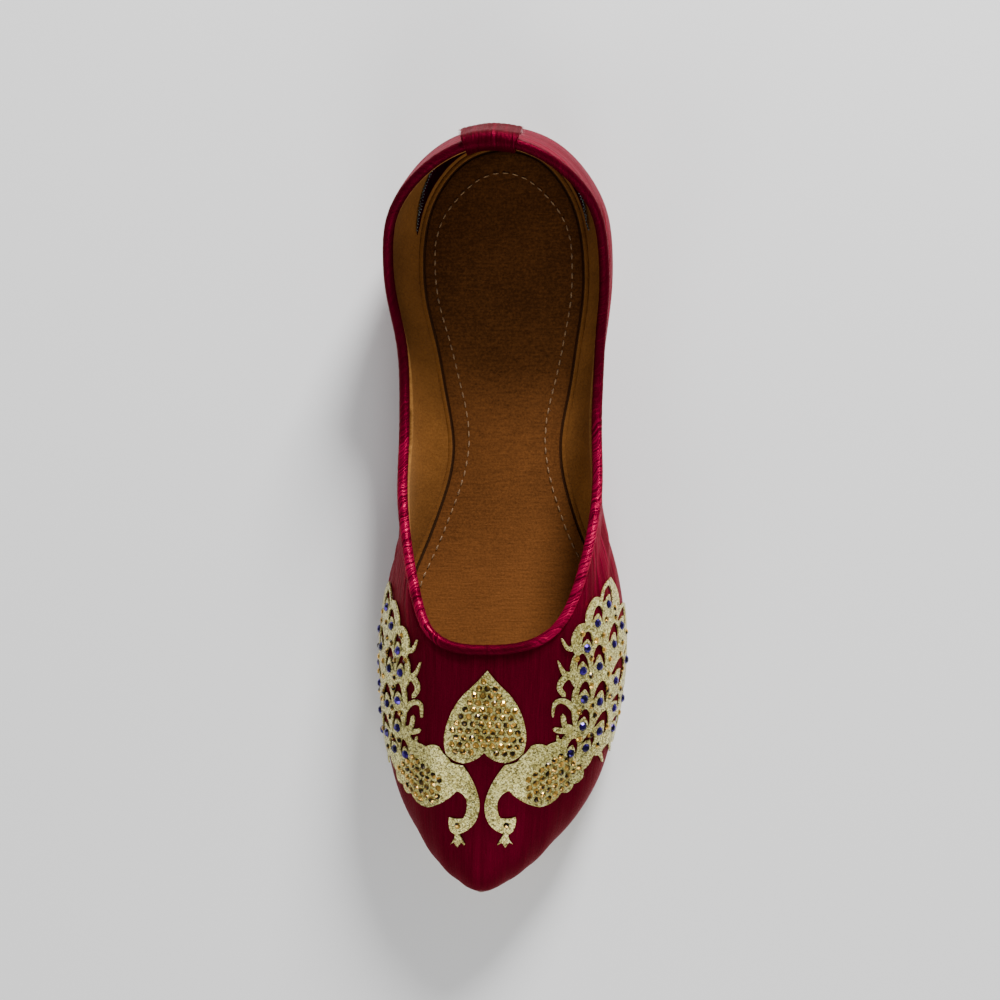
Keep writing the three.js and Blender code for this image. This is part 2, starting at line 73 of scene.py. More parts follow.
Place = tuple[float, float]
Range = tuple[float, float]
Colour = tuple[float, float, float]
Piece = bpy.types.Object
Socket = bpy.types.NodeSocket


class Side(Enum):
    """The two sides of the left foot's shoe."""

    OUTER = 1
    INNER = -1


def smoothstep(low: float, high: float, value: float) -> float:
    """Rises softly from 0 at low to 1 at high.

    Args:
        low: where the rise starts.
        high: where it ends.
        value: where it is read.

    Returns:
        The share from 0 to 1.
    """
    share = min(1.0, max(0.0, (value - low) / (high - low)))
    return share * share * (3 - 2 * share)


def mix(low: float, high: float, share: float) -> float:
    """Returns the value that lies at a share of the way from low to high."""
    return low + (high - low) * share


def settle(item: object, **settings: object) -> None:
    """Sets properties of a Blender item by their names."""
    for key, value in settings.items():
        setattr(item, key, value)


def make_active(piece: Piece) -> None:
    """Deselects everything else and makes one piece the active object."""
    bpy.ops.object.select_all(action="DESELECT")
    piece.select_set(True)
    bpy.context.view_layer.objects.active = piece


def new_piece(name: str, data: bpy.types.ID) -> Piece:
    """Links a mesh or a curve into the scene as a piece of its own.

    Args:
        name: the piece's name.
        data: its mesh or curve, with its place in its points.

    Returns:
        The new object, made active.
    """
    piece = bpy.data.objects.new(name, data)
    bpy.context.scene.collection.objects.link(piece)
    make_active(piece)
    return piece


def apply_modifier(piece: Piece, kind: str, **settings: object) -> None:
    """Adds a modifier to a piece and applies it.

    Args:
        piece: the object to change.
        kind: the modifier's type.
        **settings: values for the modifier.
    """
    make_active(piece)
    modifier = piece.modifiers.new(kind.lower(), kind)
    settle(modifier, **settings)
    bpy.ops.object.modifier_apply(modifier=modifier.name)


def smooth_skin(piece: Piece, levels: int) -> None:
    """Applies a subdivision surface of so many levels."""
    apply_modifier(piece, "SUBSURF", levels=levels, render_levels=levels)


def crease_sharp_edges(piece: Piece, angle: float, strength: float) -> None:
    """Creases the edges of a mesh that turn by more than an angle.

    Args:
        piece: the object whose mesh is creased.
        angle: the least turn, in degrees.
        strength: the crease from 0 to 1.
    """
    shape = bmesh.new()
    shape.from_mesh(piece.data)
    layer = shape.edges.layers.float.get("crease_edge") or shape.edges.layers.float.new("crease_edge")
    for edge in shape.edges:
        if len(edge.link_faces) == 2 and edge.calc_face_angle(0.0) > math.radians(angle):
            edge[layer] = strength
    shape.to_mesh(piece.data)
    shape.free()


def quad_copy(node: Piece, name: str) -> Piece:
    """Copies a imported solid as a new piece, merged and with its triangles joined in pairs.

    Args:
        node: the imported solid.
        name: the new piece's name.

    Returns:
        The new piece.
    """
    piece = new_piece(name, node.data.copy())
    piece.data.materials.clear()
    bpy.ops.object.mode_set(mode="EDIT")
    bpy.ops.mesh.select_all(action="SELECT")
    bpy.ops.mesh.remove_doubles(threshold=MERGE_GAP)
    bpy.ops.mesh.tris_convert_to_quads(
        face_threshold=QUAD_ANGLE, shape_threshold=QUAD_ANGLE, topology_influence=1.2)
    bpy.ops.object.mode_set(mode="OBJECT")
    return piece


def shade_smooth(piece: Piece, angle: float) -> None:
    """Smooths the shading of a piece across edges that turn by less than an angle in degrees."""
    make_active(piece)
    bpy.ops.object.shade_smooth_by_angle(angle=math.radians(angle))


def move_points(piece: Piece, shift: Callable[[Vector, Vector, int], Vector | None]) -> None:
    """Moves each point of a mesh.

    Args:
        piece: the object whose mesh is changed.
        shift: gives the move for a point, its normal and its number, or None to leave it.
    """
    mesh = piece.data
    moves = [shift(vertex.co, vertex.normal, vertex.index) for vertex in mesh.vertices]
    for vertex, move in zip(mesh.vertices, moves):
        if move is not None:
            vertex.co += move
    mesh.update()


def lay_cloth(mesh: bpy.types.Mesh, spots: Iterable[Vector]) -> None:
    """Keeps each point's place on the cloth and its rib strength, which Satin reads."""
    layer = mesh.attributes.new("cloth", "FLOAT_VECTOR", "POINT")
    layer.data.foreach_set("vector", [value for spot in spots for value in spot])


def finish_piece(piece: Piece, finishes: Sequence[bpy.types.Material], slot: str, *nodes: str,
                 angle: float | None = 180.0) -> None:
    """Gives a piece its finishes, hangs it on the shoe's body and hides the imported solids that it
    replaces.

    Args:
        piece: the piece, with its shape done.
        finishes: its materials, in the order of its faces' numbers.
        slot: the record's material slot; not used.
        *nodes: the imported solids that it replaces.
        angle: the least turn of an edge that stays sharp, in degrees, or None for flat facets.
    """
    for finish in finishes:
        piece.data.materials.append(finish)
    if angle is not None:
        shade_smooth(piece, angle)
    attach(piece, BODY)
    if nodes:
        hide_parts(*nodes)


def select_faces(piece: Piece, chosen: Callable[[bmesh.types.BMFace], bool]) -> None:
    """Selects faces of a piece in edit mode.

    Args:
        piece: the piece.
        chosen: tells whether a face is to be selected.
    """
    shape = bmesh.from_edit_mesh(piece.data)
    for face in shape.faces:
        face.select = chosen(face)
    bmesh.update_edit_mesh(piece.data)


def surface_of(piece: Piece) -> BVHTree:
    """Returns a search tree over the faces of a piece."""
    mesh = piece.data
    corners = [vertex.co.copy() for vertex in mesh.vertices]
    return BVHTree.FromPolygons(corners, [tuple(face.vertices) for face in mesh.polygons])


def joined_copies(name: str, model: Piece, places: Sequence[Matrix]) -> Piece:
    """Joins many copies of one small model into one mesh, and removes the model.

    Args:
        name: the new piece's name.
        model: the small model, built at the origin.
        places: one matrix for each copy.

    Returns:
        The new piece.
    """
    corners = [vertex.co.copy() for vertex in model.data.vertices]
    faces = [tuple(face.vertices) for face in model.data.polygons]
    points: list[Vector] = []
    polygons: list[tuple[int, ...]] = []
    for place in places:
        first = len(points)
        points.extend(place @ corner for corner in corners)
        polygons.extend(tuple(first + index for index in face) for face in faces)
    mesh = bpy.data.meshes.new(name)
    mesh.from_pydata(points, [], polygons)
    bpy.data.objects.remove(model)
    return new_piece(name, mesh)


def frame_at(point: Vector, forward: Vector, normal: Vector, scale: Vector) -> Matrix:
    """Places a model: its X along forward, its Z along the normal.

    Args:
        point: where the model's origin goes.
        forward: the way of its X axis.
        normal: the way of its Z axis.
        scale: its size along its own axes.

    Returns:
        The matrix.
    """
    up = normal.normalized()
    ahead = (forward - up * forward.dot(up)).normalized()
    turned = Matrix((ahead, up.cross(ahead), up)).transposed().to_4x4()
    return Matrix.Translation(point) @ turned @ Matrix.Diagonal(scale.to_4d())


def curve_piece(name: str, routes: Iterable[Sequence[Sequence[float]]], closed: bool,
                **settings: object) -> Piece:
    """Makes a mesh from curves with straight stretches.

    Args:
        name: the new piece's name.
        routes: the points of each curve.
        closed: whether each curve runs back to its start.
        **settings: values for the curves' properties.

    Returns:
        The new piece, a mesh, made active.
    """
    data = bpy.data.curves.new(name, "CURVE")
    settle(data, **settings)
    for route in routes:
        spline = data.splines.new("POLY")
        spline.points.add(len(route) - 1)
        spline.use_cyclic_u = closed
        for point, place in zip(spline.points, route):
            point.co = (*place, 1.0)
    piece = new_piece(name, data)
    bpy.ops.object.convert(target="MESH")
    return piece


def threads(name: str, routes: Sequence[Sequence[Vector]], radius: float) -> Piece:
    """Returns a mesh of round threads along routes in metres, with a radius in millimetres."""
    return curve_piece(name, routes, False, dimensions="3D", bevel_depth=radius * MM, bevel_resolution=1,
                       use_fill_caps=True)


def paces(route: Sequence[Vector], pitch: float) -> Iterator[tuple[Vector, Vector]]:
    """Walks along a route in even steps.

    Args:
        route: its points, in metres.
        pitch: the length of a step, in metres.

    Yields:
        Each step's place, and the stretch of the route that it lies on.
    """
    run = 0.0
    for start, end in zip(route, route[1:]):
        span = (end - start).length
        while run < span:
            yield start.lerp(end, run / span), end - start
            run += pitch
        run -= span


# Finishes


class Bench:
    """Builds one node material around a Principled shader."""

    def __init__(self, name: str, **values: object) -> None:
        """Starts a material.

        Args:
            name: the material's name.
            **values: constants for the shader's sockets, with underscores for spaces.
        """
        self.material = bpy.data.materials.new(name)
        self.material.use_nodes = True
        self.tree = self.material.node_tree
        self.shader = self.tree.nodes["Principled BSDF"]
        for key, value in values.items():
            self.shader.inputs[key.replace("_", " ")].default_value = value
        self.place = self.add("ShaderNodeTexCoord").outputs["Object"]

    def add(self, kind: str, inputs: dict[str | int, object] | None = None,
            **settings: object) -> bpy.types.Node:
        """Adds a node.

        Args:
            kind: the node's type.
            inputs: a socket or a constant for each of its inputs that is used.
            **settings: values for its properties.

        Returns:
            The node.
        """
        node = self.tree.nodes.new(kind)
        settle(node, **settings)
        for key, source in (inputs or {}).items():
            self.put(source, node.inputs[key])
        return node

    def put(self, source: object, socket: Socket) -> None:
        """Links a socket to another, or sets it to a constant."""
        if isinstance(source, Socket):
            self.tree.links.new(source, socket)
        else:
            socket.default_value = source

    def attribute(self, name: str) -> Socket:
        """Returns the vector of a mesh attribute."""
        return self.add("ShaderNodeAttribute", attribute_name=name).outputs["Vector"]

    def scaled(self, vector: Socket, scale: tuple[float, float, float]) -> Socket:
        """Returns a vector that is stretched along each axis."""
        return self.add("ShaderNodeMapping", {"Vector": vector, "Scale": scale}).outputs["Vector"]

    def part(self, vector: Socket, axis: str) -> Socket:
        """Returns one component of a vector."""
        return self.add("ShaderNodeSeparateXYZ", {0: vector}).outputs[axis]

    def maths(self, operation: str, first: object, second: object = 0.0) -> Socket:
        """Returns what a Math node makes of one or two values."""
        return self.add("ShaderNodeMath", {0: first, 1: second}, operation=operation).outputs[0]

    def summed(self, *parts: tuple[Socket, float]) -> Socket:
        """Adds up values.

        Args:
            *parts: each value with its weight.

        Returns:
            The sum.
        """
        first, *others = [self.maths("MULTIPLY", value, weight) for value, weight in parts]
        for other in others:
            first = self.maths("ADD", first, other)
        return first

    def centred(self, value: Socket) -> Socket:
        """Returns a noise value less its mean of a half."""
        return self.maths("SUBTRACT", value, 0.5)

    def cloud(self, vector: Socket, scale: float, detail: float = 2.0,
              roughness: float = 0.5) -> Socket:
        """Returns a noise value.

        Args:
            vector: where it is read.
            scale: how fine it is.
            detail: how many layers it has.
            roughness: how strong the finer layers are.

        Returns:
            The noise's value socket.
        """
        inputs = {"Vector": vector, "Scale": scale, "Detail": detail, "Roughness": roughness}
        return self.add("ShaderNodeTexNoise", inputs).outputs["Fac"]

    def grains(self, scale: float, channel: str) -> Socket:
        """Returns a value that differs from cell to cell of a fine Voronoi pattern."""
        cells = self.add("ShaderNodeTexVoronoi", {"Vector": self.place, "Scale": scale})
        return self.part(cells.outputs["Color"], channel)

    def paint(self, value: Socket, stops: Sequence[tuple[float, Colour]]) -> None:
        """Colours the shader by a value.

        Args:
            value: the value from 0 to 1.
            stops: places and colours of the ramp, from low to high.
        """
        node = self.add("ShaderNodeValToRGB", {0: value})
        elements = node.color_ramp.elements
        while len(elements) < len(stops):
            elements.new(0.5)
        for element, (place, colour) in zip(elements, stops):
            element.position = place
            element.color = (*colour, 1.0)
        self.put(node.outputs["Color"], self.shader.inputs["Base Color"])

    def bump(self, layers: Iterable[tuple[Socket, float]]) -> None:
        """Stacks bump layers on the shader.

        Args:
            layers: heights from 0 to 1 with their depth in millimetres.
        """
        under: dict[str, object] = {}
        for height, depth in layers:
            node = self.add("ShaderNodeBump", {"Distance": depth * MM, "Height": height, **under})
            under = {"Normal": node.outputs["Normal"]}
        self.put(under["Normal"], self.shader.inputs["Normal"])


@dataclass(frozen=True)
class Satin:
    """Ribbed silk satin. Its ribs lie along the second value of the attribute cloth, and the third
    value says how strong they are. Their crests and the fine lines along them are bumped and
    painted lighter, as painted highlights.
    """

    name: str
    shade: Colour = (0.05, 0.0002, 0.005)
    middle: Colour = (0.115, 0.0006, 0.0125)
    light: Colour = (0.35, 0.0035, 0.05)
    pitch: float = 2.3
    depth: float = 0.42
    # ribs: how strongly the crests are painted light, as painted highlights.
    ribs: float = 0.68
    roughness: float = 0.38

    def material(self) -> bpy.types.Material:
        """Returns the satin's material."""
        bench = Bench(self.name, Metallic=0.42, Roughness=self.roughness, Specular_IOR_Level=0.04,
                      Specular_Tint=(0.9, 0.05, 0.2, 1.0), Sheen_Weight=0.06,
                      Sheen_Roughness=0.4, Sheen_Tint=(0.6, 0.006, 0.07, 1.0))
        cloth = bench.attribute("cloth")
        wander = bench.cloud(bench.scaled(cloth, (0.16, 0.02, 0.0)), 1.0)
        across = bench.maths("ADD", bench.part(cloth, "X"), bench.maths("MULTIPLY", wander, 5.0))
        wave = bench.maths("SINE", bench.maths("MULTIPLY", across, math.pi / self.pitch))
        rib = bench.maths("ABSOLUTE", wave)
        pleats = self.lines(bench, cloth, (0.42, 0.006, 0.0), 6.0)
        wires = self.lines(bench, cloth, (0.85, 0.012, 0.3), 13.0)
        broad = bench.cloud(bench.scaled(cloth, (0.24, 0.012, 0.0)), 1.0, 3.0, 0.7)
        # crest: the ribs' height and their fine lines, which bump the cloth and also paint highlights on it.
        crest = bench.summed((rib, 0.38), (pleats, 0.42), (wires, 0.3))
        strength = bench.maths("MULTIPLY", bench.maths("ADD", broad, 0.22), bench.part(cloth, "Z"))
        crest = bench.maths("MULTIPLY", crest, strength)
        weft = bench.cloud(bench.scaled(cloth, (4.5, 0.12, 0.0)), 1.0, 3.0, 0.6)
        streaks = bench.cloud(bench.scaled(cloth, (1.1, 0.05, 0.0)), 1.0, 3.0, 0.6)
        slubs = bench.cloud(bench.scaled(cloth, (1.6, 1.1, 0.0)), 2.2, 4.0, 0.7)
        # Painted highlights: the crests are painted towards the light colour; weft, streaks and slubs are
        # the cloth's own colour.
        tone = bench.summed((crest, self.ribs), (weft, 0.3), (bench.centred(streaks), 0.2),
                            (bench.centred(slubs), 0.42))
        bench.paint(tone, [(0.08, self.shade), (0.34, self.middle), (0.85, self.light)])
        bench.bump([(crest, self.depth), (weft, 0.07), (slubs, 0.1)])
        return bench.material

    @staticmethod
    def lines(bench: Bench, cloth: Socket, scale: tuple[float, float, float],
              thinness: float) -> Socket:
        """Draws uneven lines that run along the ribs.

        Args:
            bench: the material's bench.
            cloth: the places on the cloth, in millimetres.
            scale: how often the lines change across, along and by strength.
            thinness: how thin they are.

        Returns:
            A value that is 1 on a line.
        """
        drift = bench.cloud(bench.scaled(cloth, scale), 1.0, 1.0)
        away = bench.maths("ABSOLUTE", bench.centred(drift))
        line = bench.maths("SUBTRACT", 1.0, bench.maths("MULTIPLY", away, thinness))
        return bench.maths("POWER", bench.maths("MAXIMUM", line, 0.0), 1.6)


@dataclass(frozen=True)
class Suede:
    """Brushed tan suede with fine lines across the shoe. Painted shade, with some wear, darkens it
    towards the heel, from the shade's start in front of the shoe's middle over the shade's length.
    """

    name: str
    shade: Colour = (0.085, 0.027, 0.004)
    light: Colour = (0.3, 0.118, 0.024)
    lines: float = 0.12
    heel_shade_and_wear: float = 0.0
    blotches: float = 0.45
    base: float = 0.225
    heel_shade_start: float = 35.0
    heel_shade_length: float = 100.0

    def material(self) -> bpy.types.Material:
        """Returns the suede's material."""
        bench = Bench(self.name, Roughness=0.9, Specular_IOR_Level=0.12, Sheen_Weight=0.12,
                      Sheen_Roughness=0.5, Sheen_Tint=(1.0, 0.6, 0.25, 1.0))
        lines = bench.cloud(bench.scaled(bench.place, (170.0, 1250.0, 900.0)), 1.0, 2.0, 0.6)
        nap = bench.cloud(bench.place, 1400.0, 4.0, 0.7)
        patches = bench.cloud(bench.place, 60.0, 3.0)
        tone = bench.summed((lines, self.lines), (nap, 0.55 - self.lines))
        uneven = bench.summed((bench.centred(patches), self.blotches))
        tone = bench.maths("ADD", tone, bench.maths("ADD", uneven, self.base))
        # Painted shade, with some wear: darker towards the heel, where the back wall's shadow falls.
        if self.heel_shade_and_wear:
            along = bench.maths("ADD", bench.part(bench.place, "Y"), self.heel_shade_start * MM)
            along = bench.maths("DIVIDE", along, self.heel_shade_length * MM)
            heel = bench.maths("MINIMUM", bench.maths("MAXIMUM", along, 0.0), 1.0)
            tone = bench.maths("SUBTRACT", tone, bench.maths("MULTIPLY", heel, self.heel_shade_and_wear))
        bench.paint(tone, [(0.28, self.shade), (0.72, self.light)])
        bench.bump([(lines, 0.09), (nap, 0.08)])
        return bench.material


@dataclass(frozen=True)
class Glitter:
    """Cloth covered in coarse pale gold glitter."""

    name: str
    grain: float = 0.4
    finer: float = 2.2

    def material(self) -> bpy.types.Material:
        """Returns the glitter cloth's material."""
        bench = Bench(self.name, Metallic=0.5, Roughness=0.3, Specular_IOR_Level=0.6)
        flake = bench.grains(1.0 / (self.grain * MM), "X")
        fine = bench.grains(self.finer / (self.grain * MM), "Y")
        tone = bench.summed((flake, 0.72), (fine, 0.28))
        bench.paint(tone, [(0.14, (0.07, 0.053, 0.008)), (0.34, (0.33, 0.27, 0.06)),
                           (0.58, (0.68, 0.6, 0.16)), (0.84, (1.0, 0.95, 0.44))])
        bench.bump([(flake, 0.22), (fine, 0.08)])
        return bench.material


@dataclass(frozen=True)
class Stone:
    """A foil-backed glass stone."""

    name: str
    shade: Colour
    light: Colour
    metallic: float = 0.85

    def material(self) -> bpy.types.Material:
        """Returns the stone's material."""
        bench = Bench(self.name, Metallic=self.metallic, Roughness=0.14, Coat_Weight=0.3,
                      Coat_Roughness=0.04, Specular_IOR_Level=0.5)
        bench.paint(bench.grains(900.0, "X"), [(0.25, self.shade), (0.8, self.light)])
        return bench.material


@dataclass(frozen=True)
class Hide:
    """Pale raw sole leather with fibres and rubbed dirt."""

    name: str

    def material(self) -> bpy.types.Material:
        """Returns the leather's material."""
        bench = Bench(self.name, Roughness=0.82, Specular_IOR_Level=0.25)
        fibres = bench.cloud(bench.scaled(bench.place, (500.0, 500.0, 1800.0)), 1.0, 5.0, 0.7)
        grain = bench.cloud(bench.place, 900.0, 4.0, 0.6)
        stains = bench.cloud(bench.place, 42.0, 4.0, 0.6)
        bench.paint(bench.summed((fibres, 0.45), (stains, 0.55)), [
            (0.3, (0.22, 0.17, 0.11)), (0.46, (0.46, 0.4, 0.3)), (0.64, (0.66, 0.6, 0.49))])
        bench.bump([(fibres, 0.3), (grain, 0.1)])
        return bench.material


@dataclass(frozen=True)
class Thread:
    """Twisted sewing thread."""

    name: str
    shade: Colour
    light: Colour

    def material(self) -> bpy.types.Material:
        """Returns the thread's material."""
        bench = Bench(self.name, Roughness=0.62, Sheen_Weight=0.3)
        twist = bench.cloud(bench.place, 2600.0, 2.0)
        bench.paint(twist, [(0.3, self.shade), (0.7, self.light)])
        bench.bump([(twist, 0.08)])
        return bench.material


@dataclass(frozen=True)
class Wall:
    """The pale floor."""

    name: str

    def material(self) -> bpy.types.Material:
        """Returns the floor's material."""
        bench = Bench(self.name, Roughness=0.9, Specular_IOR_Level=0.1)
        bench.paint(bench.cloud(bench.place, 3.0), [(0.3, (0.92, 0.92, 0.92)), (0.7, (0.95, 0.95, 0.95))])
        return bench.material


# The last: the shape that the cloth lies on


@dataclass
class Section:
    """Half a cross section of the upper's outer face, from the middle line down to the sole."""

    lengths: list[float] = field(default_factory=list)
    points: list[Vector] = field(default_factory=list)
    angles: list[float] = field(default_factory=list)

    def add(self, point: Vector, angle: float, middle: float) -> None:
        """Adds the next point downwards.

        Args:
            point: the point, in metres.
            angle: its angle above the level through the section's centre.
            middle: the middle line's place across the shoe.
        """
        if self.points:
            length = self.lengths[-1] + (point - self.points[-1]).length / MM
        else:
            length = abs(point.x - middle) / MM
        self.lengths.append(length)
        self.points.append(point)
        self.angles.append(angle)

    def at_length(self, length: float) -> Vector:
        """Returns the point at a length across, in millimetres, from the middle line."""
        for index in range(1, len(self.lengths)):
            if self.lengths[index] >= length:
                low = self.lengths[index - 1]
                span = self.lengths[index] - low
                share = 0.0 if span <= 0 else max(0.0, (length - low) / span)
                return self.points[index - 1].lerp(self.points[index], share)
        return self.points[-1].copy()

    def at_angle(self, angle: float) -> float:
        """Returns the length across, in millimetres, of the point at an angle."""
        upright = math.pi / 2
        if angle > self.angles[0]:
            return self.lengths[0] * (upright - angle) / max(0.02, upright - self.angles[0])
        for index in range(1, len(self.angles)):
            if self.angles[index] <= angle:
                span = self.angles[index - 1] - self.angles[index]
                share = min(1.0, max(0.0, (self.angles[index - 1] - angle) / span))
                return mix(self.lengths[index - 1], self.lengths[index], share)
        return self.lengths[-1]


@dataclass
class Last:
    """The chart of the upper's outer face."""

    upper: Piece
    insole: Piece
    toe: float
    toe_middle: float
    throat_middle: float
    heel_middle: float
    vamp_length: float = 71.0
    step: float = 2.0
    length: float = 226.0
    opening: float = 150.0
    bed_start: float = 6.0
    bed_end: float = 232.0
    above: float = 100.0
    centre_rise: float = 3.0
    rays: int = 72
    lowest_angle: float = -34.0
    sections: dict[Side, list[Section]] = field(default_factory=dict)

    def __post_init__(self) -> None:
        """Cuts the sections."""
        self.skin = surface_of(self.upper)
        self.bed = surface_of(self.insole)
        for side in Side:
            count = int(self.length / self.step)
            self.sections[side] = [self.section(side, (1 + index) * self.step) for index in range(count)]

    def middle(self, along: float) -> float:
        """Returns the middle line's place across the shoe, in metres, at a distance from the toe."""
        vamp = mix(self.toe_middle, self.throat_middle, min(1.0, max(0.0, along / self.vamp_length)))
        return mix(vamp, self.heel_middle, smoothstep(self.vamp_length, self.length, along))

    def bed_height(self, along: float) -> float:
        """Returns the height of the insole's top, in metres, at a distance from the toe."""
        over_bed = min(self.bed_end, max(self.bed_start, along))
        start = Vector((self.middle(over_bed), self.toe + over_bed * MM, self.above * MM))
        return self.bed.ray_cast(start, Vector((0, 0, -1)))[0].z

    def centre_height(self, along: float) -> float:
        """Returns the height of a section's centre, in metres, at a distance from the toe."""
        return self.bed_height(along) + self.centre_rise * MM

    def opening_centre(self) -> Vector:
        """Returns the point on the floor under the middle of the opening."""
        return Vector((self.throat_middle, self.toe + self.opening * MM, 0))

    def beside(self, side: Side, along: float) -> tuple[Section, Section, float]:
        """Finds the two sections that a place lies between.

        Args:
            side: the side of the shoe.
            along: the distance from the toe, in millimetres.

        Returns:
            Both sections, and the share of the way from the first to the second.
        """
        cuts = self.sections[side]
        place = min(len(cuts) - 1.001, max(0.0, along / self.step - 1))
        index = int(place)
        return cuts[index], cuts[index + 1], place - index

    def section(self, side: Side, along: float) -> Section:
        """Cuts one half section.

        Args:
            side: the side of the shoe.
            along: the distance from the toe, in millimetres.

        Returns:
            The section.
        """
        cut = Section()
        centre = Vector((self.middle(along), self.toe + along * MM, self.centre_height(along)))
        reach = 0.09
        for ray in range(self.rays + 1):
            angle = math.radians(mix(90.0, self.lowest_angle, ray / self.rays))
            way = Vector((side.value * math.cos(angle), 0, math.sin(angle)))
            hit, normal, _, _ = self.skin.ray_cast(centre + way * reach, -way, reach)
            if hit is not None and normal.dot(way) > 0:
                cut.add(hit, angle, centre.x)
        return cut

    def spot(self, side: Side, across: float, along: float) -> Vector:
        """Returns the point of the cloth at a place on the chart, in metres."""
        low, high, share = self.beside(side, along)
        return low.at_length(across).lerp(high.at_length(across), share)

    def lifted(self, side: Side, across: float, along: float, height: float) -> tuple[Vector, Vector]:
        """Finds a point above the cloth.

        Args:
            side: the side of the shoe.
            across: the length across, in millimetres; below zero it lies on the other side.
            along: the distance from the toe, in millimetres.
            height: how far it stands off the cloth, in millimetres.

        Returns:
            The point and the cloth's normal.
        """
        if across < 0:
            side, across = Side(-side.value), -across
        near, normal, _, _ = self.skin.find_nearest(self.spot(side, across, along))
        return near + normal * (height * MM), normal

    def chart(self, point: Vector) -> tuple[float, float]:
        """Returns a point's length across, below zero on the inner side, and its distance along."""
        along = (point.y - self.toe) / MM
        middle = self.middle(along)
        side = Side.OUTER if point.x > middle else Side.INNER
        low, high, share = self.beside(side, along)
        angle = math.atan2(point.z - self.centre_height(along), abs(point.x - middle))
        return side.value * mix(low.at_angle(angle), high.at_angle(angle), share), along


# Sub-assemblies


@dataclass(frozen=True)
class Crease:
    """A soft trough or ridge in the cloth between two places on the chart, in millimetres."""

    start: Place
    end: Place
    depth: float
    width: float

    def height(self, across: float, along: float) -> float:
        """Returns how far the cloth moves at a place, in millimetres."""
        dx, dy = self.end[0] - self.start[0], self.end[1] - self.start[1]
        px, py = across - self.start[0], along - self.start[1]
        share = min(1.0, max(0.0, (px * dx + py * dy) / (dx * dx + dy * dy)))
        away = math.hypot(px - share * dx, py - share * dy) / self.width
        ends = min(1.0, 4 * share * (1 - share) + 0.15)
        return -self.depth * ends * math.exp(-away * away)


@dataclass
class Upper:
    """The ribbed satin upper with its suede lining. Over the range blend the ribs turn from lanes
    beside the vamp's middle line into lanes at even heights of the wall.
    """

    node: Piece
    edging: Piece
    ridge_pitch: float = 6.4
    ridge_length: float = 70.0
    ridge_drift: float = 400.0
    ridge_depth: float = 0.22
    quarter_girth: float = 70.0
    wall_stretch: float = 1.06
    wall_start: float = 3.0
    blend: Range = (84.0, 122.0)
    ribs_along: Range = (66.0, 110.0)
    ribs_across: Range = (34.0, 50.0)
    side_ribs: float = 0.75
    faint_ribs: float = 0.1
    hollow: Range = (22.0, 205.0)
    rim_reach: float = 1.2
    rim_rise: float = 1.1
    rim_turn: float = 0.5
    creases: tuple[Crease, ...] = (
        Crease((33, 84), (44, 128), 0.55, 2.0),
        Crease((37, 82), (49, 120), -0.4, 1.8),
        Crease((41, 88), (55, 132), 0.45, 2.2),
        Crease((-33, 82), (-45, 126), 0.5, 2.0),
        Crease((-38, 84), (-52, 124), 0.4, 2.2),
        Crease((-8, 66), (9, 65), 0.3, 2.6),
        Crease((45, 150), (52, 205), 0.35, 3.0),
        Crease((-46, 148), (-53, 200), 0.4, 3.0),
        Crease((58, 95), (62, 145), 0.3, 2.6),
        Crease((30, 200), (42, 222), 0.3, 2.4),
        Crease((-24, 198), (-40, 224), 0.3, 2.4),
    )

    def build(self) -> None:
        """Makes the smooth wall, with its cut edge tucked up into the roll."""
        self.roll = surface_of(self.edging)
        self.piece = quad_copy(self.node, "upper_cloth")
        crease_sharp_edges(self.piece, 60, 0.8)
        smooth_skin(self.piece, 1)

        def tuck(point: Vector, normal: Vector, index: int) -> Vector | None:
            """Returns the move of one point of the cut edge, up into the roll."""
            near = self.roll.find_nearest(point, self.rim_reach * MM)[0]
            return None if near is None else (near - point).normalized() * (self.rim_rise * MM)

        move_points(self.piece, tuck)

    def part_faces(self, last: Last) -> None:
        """Gives the outer faces the first material and the inner ones the second.

        Args:
            last: the chart of the outer face.
        """
        start, end = self.hollow
        for face in self.piece.data.polygons:
            along = min(end, max(start, (face.center.y - last.toe) / MM))
            axis = Vector((last.middle(along), last.toe + along * MM, last.bed_height(along)))
            inwards = face.normal.dot((axis - face.center).normalized())
            near = self.roll.find_nearest(face.center, self.rim_reach * MM)[0]
            rim = inwards < self.rim_turn and near is not None
            face.material_index = 0 if inwards < 0 or rim else 1

    def dress(self, last: Last) -> None:
        """Adds the cloth's own places, folds and finishes.

        Args:
            last: the chart of the outer face.
        """
        self.part_faces(last)
        smooth_skin(self.piece, 1)
        mesh = self.piece.data
        satin, lining = ({index for face in mesh.polygons if face.material_index == number
                          for index in face.vertices} for number in (0, 1))
        cloth = [Vector((0, 0, 0))] * len(mesh.vertices)

        def fold(point: Vector, normal: Vector, index: int) -> Vector | None:
            """Returns the move of one point of the outer face."""
            if index not in satin:
                return None
            across, along = last.chart(point)
            height = (point.z - last.bed_height(along)) / MM
            straight = self.quarter_girth - height * self.wall_stretch - self.wall_start
            lane = mix(abs(across), straight, smoothstep(*self.blend, along))
            # The rib strength also sets how strongly Satin paints highlights on the crests: faint on the
            # vamp's top, strong on its sides and behind.
            ribs = max(smoothstep(*self.ribs_along, along),
                       self.side_ribs * smoothstep(*self.ribs_across, abs(across)))
            cloth[index] = Vector((math.copysign(lane, across), along, mix(self.faint_ribs, 1.0, ribs)))
            if index in lining:
                return None
            rise = sum(crease.height(across, along) for crease in self.creases)
            swell = noise.noise(Vector((
                lane / self.ridge_pitch, along / self.ridge_length, across / self.ridge_drift)))
            return normal * ((rise + swell * self.ridge_depth * 2) * MM)

        move_points(self.piece, fold)
        lay_cloth(mesh, cloth)
        finishes = [Satin("satin_ribbed").material(), Suede("suede_lining").material()]
        finish_piece(self.piece, finishes, "satin", "upper")
        last.skin = surface_of(self.piece)


